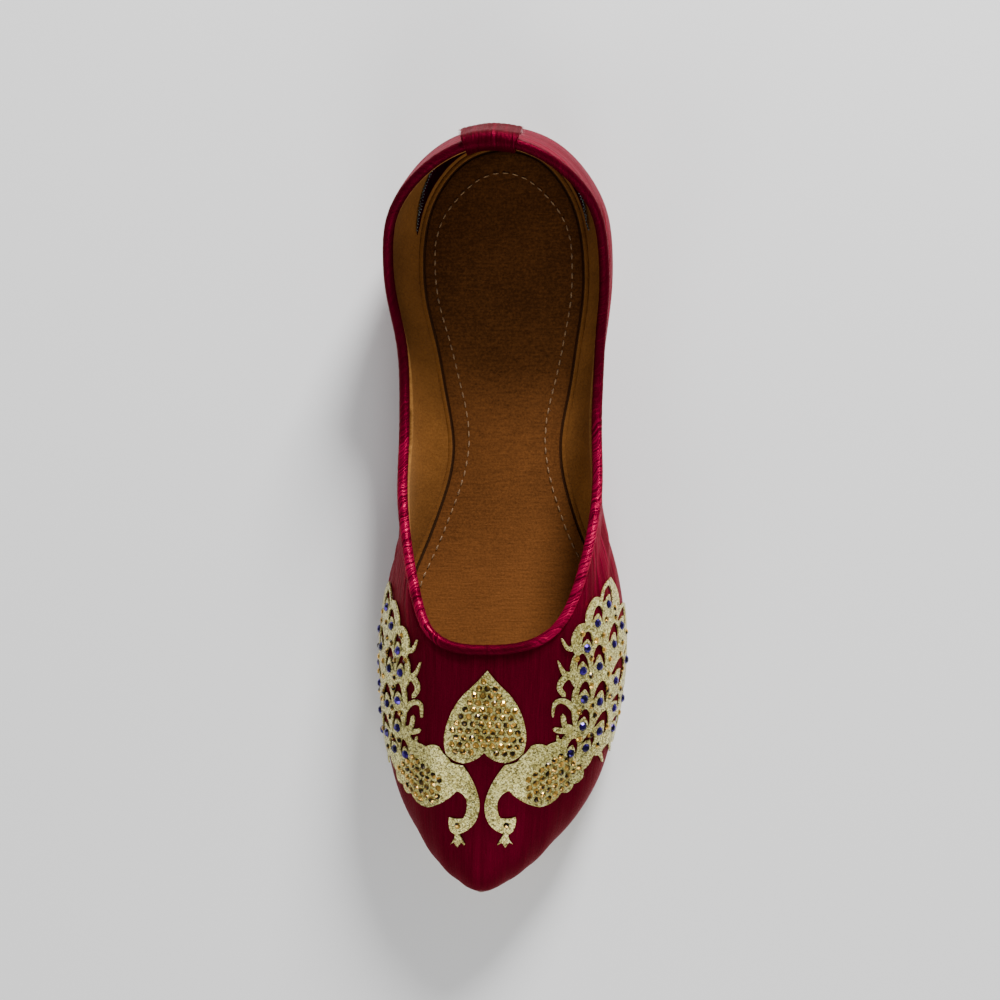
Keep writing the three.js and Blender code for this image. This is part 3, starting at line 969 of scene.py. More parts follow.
@dataclass
class Edging:
    """The rolled satin edge of the collar, with its twisted folds. Its ribs, and the highlights painted
    on them, are strong at the sides of the vamp, and faint near the middle line and from plain_heel
    behind the shoe's middle.
    """

    node: Piece
    radius: float = 1.9
    fold_pitch: float = 3.4
    fold_depth: float = 0.12
    turns: int = 3
    wander: float = 0.35
    plain_middle: Range = (10.0, 20.0)
    plain_heel: float = 45.0
    rib_and_highlight_strength: Range = (0.45, 1.7)
    bins: int = 240
    centres: list[Vector] = field(default_factory=list)

    def build(self, last: Last) -> None:
        """Rounds the roll and twists folds into it.

        Args:
            last: the shape that gives the middle of the opening.
        """
        self.piece = quad_copy(self.node, "collar_edging")
        smooth_skin(self.piece, 2)
        mesh = self.piece.data
        middle = last.opening_centre()
        cores = [vertex.co - vertex.normal * (self.radius * MM) for vertex in mesh.vertices]
        bearings = [math.atan2(core.x - middle.x, core.y - middle.y) for core in cores]
        route = self.route(cores, bearings)
        cloth: list[Vector] = []
        near, far = self.plain_middle

        def twist(point: Vector, normal: Vector, index: int) -> Vector:
            """Returns the move of one point of the roll."""
            share = (bearings[index] / math.tau + 0.5) * (len(route) - 1)
            run = mix(route[int(share)], route[min(len(route) - 1, int(share) + 1)], share % 1.0)
            out = (cores[index] - middle).xy.normalized()
            around = math.atan2(normal.z, normal.xy.dot(out))
            lane = run / self.fold_pitch - self.turns * around / math.tau
            lane += self.wander * noise.noise(Vector((run / 9, around, 0)))
            aside = smoothstep(near * MM, far * MM, abs(point.x - middle.x))
            # The strength also sets how bright the painted rib highlights are: bright at the throat's sides,
            # darker at the heel and the middle.
            strength = mix(*self.rib_and_highlight_strength, aside * smoothstep(-self.plain_heel * MM, 0.0, -point.y))
            cloth.append(Vector((lane * self.fold_pitch, around * self.radius, strength)))
            depth = 0.65 + 0.7 * noise.noise(Vector((run / 6.0, around * 0.6, 3.0)))
            crest = abs(math.sin(math.pi * lane)) - 0.6
            return normal * (crest * depth * self.fold_depth * MM)

        move_points(self.piece, twist)
        lay_cloth(mesh, cloth)
        # Painted highlights: a bright light colour for the rolled edge's rib crests.
        finish = Satin("satin_rolled", shade=(0.035, 0.0002, 0.004), middle=(0.08, 0.0005, 0.009),
                       light=(0.46, 0.006, 0.062), pitch=1.2, depth=0.15, ribs=0.55, roughness=0.27)
        finish_piece(self.piece, [finish.material()], "satin_binding", "collar_binding")

    def route(self, cores: Sequence[Vector], bearings: Sequence[float]) -> list[float]:
        """Measures the way round the collar, and keeps the roll's middle line in centres.

        Args:
            cores: points on the roll's middle line.
            bearings: their bearings from the middle of the opening.

        Returns:
            The length round, in millimetres, at evenly spaced bearings.
        """
        bins = self.bins
        sums = [Vector((0, 0, 0)) for _ in range(bins)]
        counts = [0] * bins
        for core, bearing in zip(cores, bearings):
            index = int((bearing / math.tau + 0.5) * bins) % bins
            sums[index] += core
            counts[index] += 1
        centres = [total / count for total, count in zip(sums, counts) if count]
        self.centres = centres
        stretch = bins / len(centres)
        lengths = [0.0]
        for first, second in zip(centres, centres[1:] + centres[:1]):
            lengths.append(lengths[-1] + (second - first).length / MM)
        return [lengths[min(len(lengths) - 1, round(index / stretch))] for index in range(bins + 1)]


@dataclass(frozen=True)
class StitchRow:
    """A row of sewn stitches along a route."""

    name: str
    length: float
    gap: float
    radius: float
    thread: Thread
    slant: float = 0.0
    sink: float = 0.3

    def sew(self, route: Sequence[Vector], surface: BVHTree) -> None:
        """Lays the stitches on a surface.

        Args:
            route: the row's points, in metres.
            surface: the surface that the thread lies on.
        """
        bpy.ops.object.select_all(action="DESELECT")
        bpy.ops.mesh.primitive_uv_sphere_add(segments=6, ring_count=5, radius=1.0)
        model = bpy.context.active_object
        model.data.transform(Matrix.Rotation(math.pi / 2, 4, "Y"))
        scale = Vector((self.length / 2, self.radius, self.radius)) * MM
        places: list[Matrix] = []
        for place, stretch in paces(route, (self.length + self.gap) * MM):
            near, normal, _, _ = surface.find_nearest(place)
            ahead = Matrix.Rotation(math.radians(self.slant), 3, normal) @ stretch
            spot = near + normal * (self.radius * (1 - self.sink) * MM)
            places.append(frame_at(spot, ahead, normal, scale))
        finish_piece(joined_copies(self.name, model, places), [self.thread.material()], "thread")


@dataclass
class Insole:
    """The padded suede insole with its sewn border. A ring is the finish's number, its width and its
    rise: the lining's foot, the crease painted dark as the shadow in it, and the sewn border.
    """

    node: Piece
    reach: float = 0.35
    clearance: float = 0.05
    fill: float = 0.8
    widest: float = 5.0
    border: float = 3.9
    heel_border: float = 8.6
    heel_length: float = 34.0
    crowding: float = 0.93
    edge_normal: float = 0.4
    top_normal: float = 0.6
    edge_steps: int = 120
    edge_depth: float = 1.0
    outside: float = 80.0
    # Rings of finish 2 are the crease, painted dark as the shadow in it.
    rings: tuple[tuple[int, float, float], ...] = (
        (1, 0.3, 0.2), (1, 0.6, 0.2), (1, 0.55, -0.05), (2, 0.22, -0.5), (2, 0.2, 0.0), (2, 0.22, 0.55),
        (0, 1.6, 0.15), (0, 1.6, 0.12))
    stitches: StitchRow = StitchRow("insole_stitches", 2.1, 1.1, 0.23,
                                    Thread("tan_thread", (0.15, 0.07, 0.02), (0.4, 0.22, 0.08)))

    def build(self, last: Last) -> None:
        """Shapes the border and the groove, and sews the row of stitches.

        Args:
            last: the chart that gives the lining's surface and the bed's height.
        """
        outline = self.outline(last)
        self.piece = quad_copy(self.node, "insole_padded")

        def widen(point: Vector, normal: Vector, index: int) -> Vector | None:
            """Returns the move of one point of the edge, out to the lining."""
            way = normal.xy.to_3d()
            if way.length < self.edge_normal:
                return None
            way.normalize()
            hit = last.skin.ray_cast(point, way, self.widest * MM)[0]
            return way * (self.reach * MM) if hit is None else hit - point - way * (self.clearance * MM)

        move_points(self.piece, widen)
        bpy.ops.object.mode_set(mode="EDIT")
        select_faces(self.piece, lambda face: face.normal.z > self.top_normal)
        for finish, width, rise in self.rings:
            self.number_selected(finish)
            bpy.ops.mesh.inset(thickness=width * MM, depth=rise * MM, use_boundary=True,
                               use_even_offset=True)
        self.number_selected(0)
        bpy.ops.object.mode_set(mode="OBJECT")
        smooth_skin(self.piece, 2)
        # The insole's suede gets painted shade, with some wear, towards the heel, where the back wall's
        # shadow falls.
        suedes = (
            Suede("suede_insole", shade=(0.05, 0.0145, 0.0015), light=(0.33, 0.115, 0.026),
                  lines=0.14, heel_shade_and_wear=0.18, blotches=0.1),
            Suede("suede_foot"),
            # The crease's finish is painted shadow: a dark colour where shade falls between insole and
            # lining.
            Suede("suede_painted_crease_shadow", shade=(0.016, 0.004, 0.0008), light=(0.055, 0.016, 0.003)))
        finish_piece(self.piece, [suede.material() for suede in suedes], "insole_suede", "insole")
        route = self.inwards(outline)
        self.stitches.sew(route + route[:1], surface_of(self.piece))

    def number_selected(self, finish: int) -> None:
        """Gives the faces that are selected in edit mode the number of a finish."""
        for face in bmesh.from_edit_mesh(self.piece.data).faces:
            if face.select:
                face.material_index = finish

    def outline(self, last: Last) -> list[Vector]:
        """Follows the insole's edge.

        Args:
            last: the chart that gives the bed's height.

        Returns:
            Its points, once round, in metres.
        """
        low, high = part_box("insole")
        edge = surface_of(self.node)
        halves: dict[int, list[Vector]] = {1: [], -1: []}
        for step in range(1, self.edge_steps):
            along = mix(low.y, high.y, 0.5 - 0.5 * math.cos(math.pi * step / self.edge_steps))
            height = last.bed_height((along - last.toe) / MM)
            for side, points in halves.items():
                start = Vector((side * self.outside * MM, along, height - self.edge_depth * MM))
                hit = edge.ray_cast(start, Vector((-side, 0, 0)))[0]
                if hit is not None:
                    points.append(Vector((hit.x, hit.y, height)))
        return halves[1] + halves[-1][::-1]

    def inwards(self, outline: Sequence[Vector]) -> list[Vector]:
        """Draws the outline inwards to the row of stitches, further at the heel.

        Args:
            outline: its points, once round.

        Returns:
            The points of the inner line.
        """
        back = max(point.y for point in outline)
        drawn: list[Vector] = []
        for index, point in enumerate(outline):
            before, after = outline[index - 2], outline[(index + 2) % len(outline)]
            way = (after - before).xy.normalized()
            heel = smoothstep(back - self.heel_length * MM, back, point.y)
            distance = mix(self.border, self.heel_border, heel) * MM
            inner = point + Vector((-way.y, way.x, 0)) * distance
            if min((inner - other).xy.length for other in outline) > self.crowding * self.border * MM:
                drawn.append(inner)
        return drawn


@dataclass
class Sole:
    """The pale leather outsole and the heel lift under it."""

    outsole: Piece
    lift: Piece
    roughness: float = 0.34
    fibres: Range = (420.0, 1300.0)
    edge_normal: float = 0.5

    def build(self) -> None:
        """Rounds both layers and roughens their cut edges."""
        hide = Hide("raw_leather").material()
        for node, name in ((self.outsole, "outsole_leather"), (self.lift, "lift_leather")):
            piece = quad_copy(node, name)
            crease_sharp_edges(piece, 40, 0.75)
            smooth_skin(piece, 3)
            move_points(piece, self.ragged)
            finish_piece(piece, [hide], "sole_leather", node.name, angle=50)

    def ragged(self, point: Vector, normal: Vector, index: int) -> Vector | None:
        """Returns the move of one point of a cut edge."""
        level = normal.xy
        if level.length < self.edge_normal:
            return None
        coarse, fine = (noise.noise(point * scale) for scale in self.fibres)
        return level.to_3d() * ((coarse + 0.6 * fine) * self.roughness * MM)


@dataclass
class Tab:
    """The satin pull tab over the collar's back, with its frayed sides. Its ribs grow over the depths
    of top below its highest point, and over the depths of inner_flap behind its inner end.
    """

    node: Piece
    rib_pitch: float = 1.55
    rib_depth: float = 0.2
    wrinkle_depth: float = 0.16
    top: Range = (2.6, 0.6)
    inner_flap: Range = (3.0, 6.0)
    hairs: int = 30
    hair_radius: float = 0.04
    stand_off: float = 2.6
    roll_height: float = 4.7
    wall_lean: float = 0.5
    blend: float = 1.0
    flare_height: float = 10.0

    def build(self) -> None:
        """Ribs the ribbon and frays it."""
        self.piece = quad_copy(self.node, "tab_ribbon")
        crease_sharp_edges(self.piece, 60, 0.7)
        smooth_skin(self.piece, 3)
        low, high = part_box("heel_tab")
        self.middle = (low.x + high.x) / 2
        cloth: list[Vector] = []
        top_start, top_end = (high.z - depth * MM for depth in self.top)
        outer_start, outer_end = (low.y + depth * MM for depth in self.inner_flap)

        def rib(point: Vector, normal: Vector, index: int) -> Vector:
            """Returns the move of one point of the ribbon."""
            lane = (point.x - self.middle) / MM
            shown = max(smoothstep(top_start, top_end, point.z), smoothstep(outer_start, outer_end, point.y))
            cloth.append(Vector((lane, (point.z - 2 * point.y) / MM, 0.3 + 0.7 * shown)))
            depth = self.rib_depth * (0.2 + 0.8 * shown)
            crest = abs(math.sin(math.pi * lane / self.rib_pitch)) - 0.5
            wrinkle = noise.noise(Vector((lane / 4, point.z * 300, point.y * 300)))
            return normal * ((crest * depth + self.wrinkle_depth * wrinkle) * MM)

        move_points(self.piece, rib)

        def flare(point: Vector, _normal: Vector, _index: int) -> Vector:
            """Returns how far one point of the outer flap stands off."""
            wall = max(0.0, high.z - self.roll_height * MM - point.z) * self.wall_lean
            middle = (low.y + high.y) / 2 + wall
            outer = smoothstep(middle - self.blend * MM, middle + self.blend * MM, point.y)
            drop = smoothstep(0.0, self.flare_height * MM, high.z - point.z)
            return Vector((0, outer * drop * self.stand_off * MM, 0))

        move_points(self.piece, flare)
        lay_cloth(self.piece.data, cloth)
        finish = Satin("satin_ribbon", shade=(0.03, 0.0002, 0.003), middle=(0.065, 0.0004, 0.007),
                       light=(0.32, 0.004, 0.045), pitch=self.rib_pitch, depth=0.25, ribs=0.36,
                       roughness=0.3)
        finish_piece(self.piece, [finish.material()], "satin_binding", "heel_tab")
        self.fray()

    def fray(self) -> None:
        """Adds loose threads along both cut sides."""
        draw = random.Random(11)
        low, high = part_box("heel_tab")
        routes: list[list[Vector]] = []
        for side, limit in ((1, high.x), (-1, low.x)):
            edge = [vertex.co.copy() for vertex in self.piece.data.vertices
                    if abs(vertex.co.x - limit) < 0.5 * MM]
            for _ in range(self.hairs):
                start = draw.choice(edge)
                ahead = Vector((
                    side * draw.uniform(0.4, 1.0), draw.uniform(-0.3, 0.3), draw.uniform(-0.5, 0.4)))
                length = draw.uniform(0.4, 1.2) * MM
                bend = Vector((0, draw.uniform(-0.4, 0.4), draw.uniform(-0.5, 0.1)))
                routes.append([start + (ahead * share + bend * share * share) * length
                               for share in (0.0, 0.35, 0.7, 1.0)])
        pale = Thread("pale_thread", (0.32, 0.06, 0.08), (0.66, 0.34, 0.34)).material()
        finish_piece(threads("tab_threads", routes, self.hair_radius), [pale], "thread")


@dataclass
class Grip:
    """The dark lining piece inside the heel, with its overlocked edge. A loop of the overlock sways
    by a share of loop_width and stands off by the rise.
    """

    node: Piece
    loop: float = 1.0
    loop_width: float = 1.7
    sway: Range = (0.25, 0.6)
    rise: Range = (0.1, 0.3)
    thread_radius: float = 0.2
    bands: int = 34
    foot: float = 0.6
    head: float = 0.8
    band_height: float = 0.7
    crowding: float = 1.5

    def build(self) -> None:
        """Rounds the lining piece and sews over its sides."""
        piece = quad_copy(self.node, "grip_lining")
        smooth_skin(piece, 2)
        rims = self.rims(piece)
        lay_cloth(piece.data, [Vector((vertex.co.x / MM, vertex.co.z / MM, 1.0))
                               for vertex in piece.data.vertices])
        finish = Satin("grip_cloth_dark", shade=(0.006, 0.0004, 0.0015), middle=(0.014, 0.0006, 0.003),
                       light=(0.03, 0.001, 0.006), pitch=0.9, depth=0.06)
        finish_piece(piece, [finish.material()], "grip_cloth", "heel_grip")
        surface = surface_of(piece)
        draw = random.Random(5)
        routes: list[list[Vector]] = []
        for rim in rims:
            route: list[Vector] = []
            for place, stretch in paces(rim, self.loop / 2 * MM):
                near, normal, _, _ = surface.find_nearest(place)
                inwards = normal.cross(stretch.normalized())
                sway = self.loop_width * MM * draw.uniform(*self.sway) * (-1) ** len(route)
                swayed, face, _, _ = surface.find_nearest(near + inwards * sway)
                route.append(swayed + face * (draw.uniform(*self.rise) * MM))
            routes.append(route)
        grey = Thread("grey_thread", (0.04, 0.045, 0.05), (0.2, 0.23, 0.22)).material()
        finish_piece(threads("grip_overlock", routes, self.thread_radius), [grey], "thread")

    def rims(self, piece: Piece) -> list[list[Vector]]:
        """Returns both side edges of the lining piece, from its foot up."""
        points = [vertex.co.copy() for vertex in piece.data.vertices]
        low = min(point.z for point in points)
        high = max(point.z for point in points)
        middle = sum(point.x for point in points) / len(points)
        sides = []
        for side in (1, -1):
            rim: list[Vector] = []
            for band in range(self.bands):
                share = (band / (self.bands - 1)) ** self.crowding
                height = mix(low + self.foot * MM, high - self.head * MM, share)
                near = [point for point in points if abs(point.z - height) < self.band_height * MM]
                rim.append(max(near, key=lambda point: side * (point.x - middle)))
            sides.append([(before + 2 * point + after) / 4
                          for before, point, after in zip(rim, rim[1:], rim[2:])])
        return sides


# The ornament of cut glitter cloth, drawn flat on the vamp's chart


@dataclass(frozen=True)
class Corner:
    """A corner of an outline. The edge that leads to it bows to the right by a share of its length."""

    across: float
    along: float
    bow: float = 0.0


def drawn_outline(corners: Sequence[Corner], steps: int = 6) -> list[Place]:
    """Draws the arcs between corners.

    Args:
        corners: the outline's corners, once round.
        steps: the number of stretches in an arc.

    Returns:
        The points, once round.
    """
    points: list[Place] = []
    for index, end in enumerate(corners):
        start = corners[index - 1]
        dx, dy = end.across - start.across, end.along - start.along
        middle = ((start.across + end.across) / 2 + 2 * end.bow * dy,
                  (start.along + end.along) / 2 - 2 * end.bow * dx)
        for step in range(1, steps + 1):
            share = step / steps
            a, b, c = (1 - share) ** 2, 2 * share * (1 - share), share ** 2
            points.append((a * start.across + b * middle[0] + c * end.across,
                           a * start.along + b * middle[1] + c * end.along))
    return points


def inside(outline: Sequence[Place], place: Place, margin: float = 0.0) -> bool:
    """Tells whether a place lies inside an outline, at least a margin from its edge.

    Args:
        outline: the outline's points.
        place: the place to test.
        margin: the least distance to the edge.

    Returns:
        True when it does.
    """
    within = False
    for (ax, ay), (bx, by) in zip(outline, [*outline[1:], outline[0]]):
        if (ay > place[1]) != (by > place[1]):
            if place[0] < ax + (place[1] - ay) * (bx - ax) / (by - ay):
                within = not within
        if margin:
            dx, dy = bx - ax, by - ay
            share = ((place[0] - ax) * dx + (place[1] - ay) * dy) / max(1e-9, dx * dx + dy * dy)
            share = min(1.0, max(0.0, share))
            if math.hypot(place[0] - ax - share * dx, place[1] - ay - share * dy) < margin:
                return False
    return within


@dataclass(frozen=True)
class Feather:
    """The eye of one feather: a blue stone at the foot of a cut-out around a small teardrop."""

    across: float
    along: float
    aim: float
    reach: float
    width: float

    def opening(self, growth: float = 1.0, steps: int = 10) -> list[Place]:
        """Draws the cut-out.

        Args:
            growth: how much larger than its least size it is.
            steps: the number of stretches in its outer edge.

        Returns:
            The points round it.
        """
        half, reach = self.width / 2 * (1 + 0.4 * (growth - 1)), self.reach * growth
        tip = 0.53 * reach
        horn = -0.7
        outer = [(horn + (reach - horn) * math.sin(math.pi * step / steps) ** 0.75,
                  half * math.cos(math.pi * step / steps)) for step in range(steps + 1)]
        waist = min(half - 0.55, 1.68)
        inner = [(horn, -half), (0.8, -waist), (0.7 * tip, -0.6 * waist), (tip, -0.12), (tip, 0.12),
                 (0.7 * tip, 0.6 * waist), (0.8, waist)]
        turn = math.radians(self.aim)
        return [(self.across + forward * math.cos(turn) - sideways * math.sin(turn),
                 self.along + forward * math.sin(turn) + sideways * math.cos(turn))
                for forward, sideways in [*outer, *inner[1:]]]


@dataclass(frozen=True)
class Curl:
    """A tapering curl cut beside the feathers: its middle line from foot to end, and its widths."""

    line: tuple[Place, ...]
    foot: float
    end: float

    def outline(self, steps: int = 10) -> list[Place]:
        """Returns the points round the curl."""
        knots = [Vector((*point, 0)) for point in self.line]
        centres = []
        for step in range(steps + 1):
            share = step / steps * (len(knots) - 1)
            index = min(len(knots) - 2, int(share))
            before, after = knots[max(0, index - 1)], knots[min(len(knots) - 1, index + 2)]
            start, stop = knots[index], knots[index + 1]
            part = share - index
            centres.append(0.5 * (2 * start + (stop - before) * part
                                  + (2 * before - 5 * start + 4 * stop - after) * part ** 2
                                  + (3 * start - before - 3 * stop + after) * part ** 3))
        left, right = [], []
        for step, centre in enumerate(centres):
            way = centres[min(steps, step + 1)] - centres[max(0, step - 1)]
            normal = Vector((-way.y, way.x, 0)).normalized()
            half = mix(self.foot, self.end, step / steps) / 2
            left.append(tuple((centre + normal * half).xy))
            right.append(tuple((centre - normal * half).xy))
        tip = centres[-1] + (centres[-1] - centres[-2]).normalized() * (self.end / 2)
        return [*left, tuple(tip.xy), *reversed(right)]


LEAF = (
    Corner(6.2, 39.9, 0.1), Corner(11.8, 42.9, 0.1), Corner(12.4, 48.7, 0.05), Corner(6.6, 60.6, 0.08),
    Corner(0, 67.4, -0.02), Corner(-6.6, 60.6, -0.02), Corner(-12.4, 48.7, 0.08), Corner(-11.8, 42.9, 0.05),
    Corner(-6.2, 39.9, 0.1), Corner(0, 43.1, 0.1),
)

# From the crown round the head, the wing and the feathers' tips, back along the body and the neck
BIRD = (
    Corner(4.9, 15.2), Corner(6.1, 16), Corner(7.3, 14.4), Corner(8.5, 16), Corner(9.7, 15.3),
    Corner(8.1, 18.4, -0.1), Corner(10.1, 20.5, 0.15), Corner(10.3, 23.5, 0.05), Corner(5.5, 23.3, -0.08),
    Corner(4.7, 28.9, -0.1), Corner(7.9, 31.5, -0.12), Corner(17.5, 26.6, 0.08), Corner(24.6, 30.9, 0.12),
    Corner(28.8, 33.5, 0.25), Corner(31.9, 37.9, 0.25), Corner(35.3, 43, 0.1), Corner(39.1, 43.4, -0.1),
    Corner(44, 46.3, -0.1), Corner(51, 48.1, 0.14), Corner(54, 55.1, 0.2), Corner(58.5, 59.5, 0.1),
    Corner(57.9, 64.8, 0.2), Corner(54, 65.3, 0.1), Corner(59.1, 70.4, 0.05), Corner(60, 76.8, 0.08),
    Corner(58.2, 80.4, 0.2), Corner(54, 78.9, 0.05), Corner(57.3, 83, 0.08), Corner(54.9, 89.3, 0.2),
    Corner(48, 87, 0.1), Corner(47.1, 92.8, 0.1), Corner(42.6, 96.5, 0.1), Corner(36.4, 89.6, 0.12),
    Corner(32.7, 89, 0.14), Corner(30.3, 81.6, 0.14), Corner(26.6, 79.6, 0.16), Corner(27, 72.2, 0.18),
    Corner(25.4, 67.6, 0.12), Corner(27.2, 62.4, 0.14), Corner(26.6, 56.8, 0.1), Corner(27.4, 51, 0.06),
    Corner(23.4, 46.4, 0.04), Corner(18.9, 44.9, 0.05), Corner(14.1, 44.9, 0.12), Corner(12.6, 42.8),
    Corner(10.2, 40.2, 0.05), Corner(6.3, 39.2, -0.05), Corner(1, 28.9, 0.06), Corner(1.7, 22.7, 0.08),
    Corner(6.8, 18.6, 0.12),
)

FEATHERS = (
    Feather(40.2, 87.9, 78, 5.4, 6), Feather(35.3, 81.8, 86, 5.2, 5), Feather(49.4, 81.8, 58, 6, 6.2),
    Feather(31.4, 74.1, 88, 5.2, 4.6), Feather(43.9, 75.9, 80, 6.4, 6.4), Feather(54.2, 71.6, 56, 5.6, 6),
    Feather(29.9, 67.4, 94, 4.8, 4.4), Feather(36.3, 68.9, 86, 6.6, 5.8), Feather(44.8, 64.8, 48, 7.2, 6.2),
    Feather(30.6, 59, 86, 5.4, 4.6), Feather(36.7, 58.3, 74, 6.6, 6), Feather(52.8, 59.7, 40, 4.8, 5.6),
    Feather(44.4, 56.5, 42, 5.8, 5.4), Feather(30.5, 50.8, 80, 5.4, 4.6), Feather(37, 49.4, 62, 5.4, 5.2),
    Feather(44.7, 50.4, 36, 6.2, 5), Feather(32, 44.4, 62, 5.2, 4.4), Feather(26.9, 42.6, 76, 4.8, 3.9),
)

CURLS = (
    Curl(((27.2, 74.3), (24.4, 74), (22.2, 76.8)), 2.2, 0.5),
    Curl(((26.6, 65.6), (23.4, 66.6), (21.3, 70.2)), 2.8, 0.4),
    Curl(((27.4, 66.4), (23.6, 65.2), (22.1, 62.3), (23.6, 60.2)), 2.2, 1.5),
    Curl(((27.8, 55.4), (24.2, 58.2), (20.9, 57.6), (20.4, 53.9)), 2.2, 0.7),
    Curl(((26.6, 50.2), (24.4, 51), (23.7, 53.8)), 1.9, 1.5),
    Curl(((26.6, 50), (23.8, 49.4), (21.2, 49.8)), 2.2, 1.3),
    Curl(((23.9, 46), (22.6, 46.4), (22.2, 47.9)), 1.7, 0.6),
    Curl(((35.2, 43.2), (38.4, 42.6), (40.4, 40.4)), 2.2, 0.8),
    Curl(((43.6, 47), (44.8, 44.9), (47, 43.6)), 1.9, 0.7),
)

EYE = (7.4, 21.1)

WING = ((11.6, 34.4), (13, 30.6), (17.2, 28.2), (21.5, 29), (24.6, 31.9), (28, 34), (30.4, 37.4),
        (31.2, 41), (27.6, 39.8), (24, 42.6), (20.2, 39.8), (16, 37.6))

SMALL_STONES = (
    (34.9, 54.3), (29.2, 55.2), (33.5, 57), (33.2, 63), (32.9, 66), (40, 62), (33, 71.2), (35.2, 76.6),
    (38.3, 78.4), (38.6, 74), (39.4, 83.2), (44.6, 87), (41.6, 71.4), (40.8, 66.8), (41.6, 60), (49.2, 62.6),
    (50.2, 68.6), (48.4, 73.1), (50, 76.6), (54.6, 80.2), (45.2, 84.2), (50.4, 55.2), (33.2, 48.2),
    (27.6, 71), (29.4, 78.4), (40.8, 50.8), (36.6, 45.2), (29.6, 47),
)


def apart(spots: Sequence[Place], others: Iterable[Place], least: float) -> bool:
    """Tells whether every spot lies more than the least distance from all the others."""
    return all(math.dist(spot, other) > least for other in others for spot in spots)


@dataclass
class Ornament:
    """The leaf and the two birds, cut from glitter cloth and set with stones."""

    last: Last
    thickness: float = 0.45
    lift: float = 0.28
    cut_step: float = 2.0
    amber_radius: float = 1.0
    blue_radius: float = 1.42
    spacing: float = 2.42
    bridge: float = 0.85
    stone_rim: float = 0.35
    growths: int = 10
    growth: float = 0.05
    merge: float = 0.004
    leaf_margin: float = 1.25
    leaf_slant: float = 58.0
    wing_slant: float = 35.0
    curl_tuck: float = 0.04
    stone_sink: float = 0.05
    stone_lean: float = 0.09
    stone_bevel: float = 0.14

    def build(self) -> None:
        """Makes the cloth pieces and then the stones."""
        glitter = Glitter("glitter_gold").material()
        leaf = drawn_outline(LEAF)
        self.cloth("leaf_glitter", Side.OUTER, [leaf], [], glitter, "vamp_leaf")
        bird = drawn_outline(BIRD)
        openings = self.grown(bird)
        curls = [curl.outline() for curl in CURLS]
        for side, node in ((Side.OUTER, "bird_outer"), (Side.INNER, "bird_inner")):
            self.cloth(f"{node}_glitter", side, [bird, *openings], curls, glitter, node)
        amber = [(Side.OUTER, *place) for place in self.rows(leaf, self.leaf_margin, self.leaf_slant)]
        amber += [(side, *place) for side in Side
                  for place in (EYE, *self.rows(WING, 0.0, self.wing_slant), *SMALL_STONES)]
        blue = [(side, feather.across, feather.along) for side in Side for feather in FEATHERS]
        self.stones("stones_amber", amber, self.amber_radius, "stone_amber",
                    Stone("amber_glass", (0.02, 0.01, 0.001), (0.8, 0.47, 0.08)))
        self.stones("stones_blue", blue, self.blue_radius, "stone_blue",
                    Stone("blue_glass", (0.004, 0.0003, 0.03), (0.03, 0.002, 0.21)))

    def grown(self, bird: Sequence[Place]) -> list[list[Place]]:
        """Lets the feathers' openings grow as long as a bridge of cloth stays round each.

        Args:
            bird: the bird's outline.

        Returns:
            The openings' outlines.
        """
        sizes = [1.0] * len(FEATHERS)
        openings = [feather.opening() for feather in FEATHERS]
        for _ in range(self.growths):
            for index, feather in enumerate(FEATHERS):
                size = sizes[index] + self.growth
                wanted = feather.opening(size)
                others = [spot for opening in openings if opening is not openings[index] for spot in opening]
                eyes = [(other.across, other.along) for other in FEATHERS if other is not feather]
                clear = all(inside(bird, spot, self.bridge) for spot in wanted)
                clear = clear and apart(wanted, others, self.bridge)
                if clear and apart(wanted, eyes, self.blue_radius + self.stone_rim):
                    sizes[index], openings[index] = size, wanted
        return openings

    def rows(self, outline: Sequence[Place], margin: float, slant: float) -> list[Place]:
        """Spreads stones in slanting rows over an outline.

        Args:
            outline: the outline that they stay inside.
            margin: the least distance to its edge.
            slant: the rows' turn, in degrees.

        Returns:
            The stones' places.
        """
        turn = math.radians(slant)
        centre_across = sum(place[0] for place in outline) / len(outline)
        centre_along = sum(place[1] for place in outline) / len(outline)
        places: list[Place] = []
        for row in range(-12, 13):
            for column in range(-12, 13):
                u = (column + 0.5 * (row % 2)) * self.spacing
                v = row * self.spacing * 0.9
                place = (centre_across + u * math.cos(turn) - v * math.sin(turn),
                         centre_along + u * math.sin(turn) + v * math.cos(turn))
                if inside(outline, place, margin):
                    places.append(place)
        return places

    def flat(self, name: str, outlines: Sequence[Sequence[Place]]) -> Piece:
        """Fills flat outlines, where an outline inside another one is an opening.

        Args:
            name: the piece's name.
            outlines: the outlines' points.

        Returns:
            The flat mesh, in millimetres, cut small enough to bend.
        """
        flat_routes = [[(*place, 0.0) for place in outline] for outline in outlines]
        piece = curve_piece(name, flat_routes, True, dimensions="2D", fill_mode="BOTH")
        bpy.ops.object.mode_set(mode="EDIT")
        places = [place for outline in outlines for place in outline]
        for axis, way in enumerate(((1, 0, 0), (0, 1, 0))):
            low, high = min(place[axis] for place in places), max(place[axis] for place in places)
            for step in range(1, int((high - low) / self.cut_step) + 1):
                level = low + step * self.cut_step
                bpy.ops.mesh.select_all(action="SELECT")
                bpy.ops.mesh.bisect(plane_co=tuple(part * level for part in way), plane_no=way)
        bpy.ops.mesh.select_all(action="SELECT")
        bpy.ops.mesh.remove_doubles(threshold=self.merge)
        bpy.ops.mesh.normals_make_consistent(inside=False)
        bpy.ops.object.mode_set(mode="OBJECT")
        if sum(face.normal.z * face.area for face in piece.data.polygons) < 0:
            piece.data.flip_normals()
        return piece

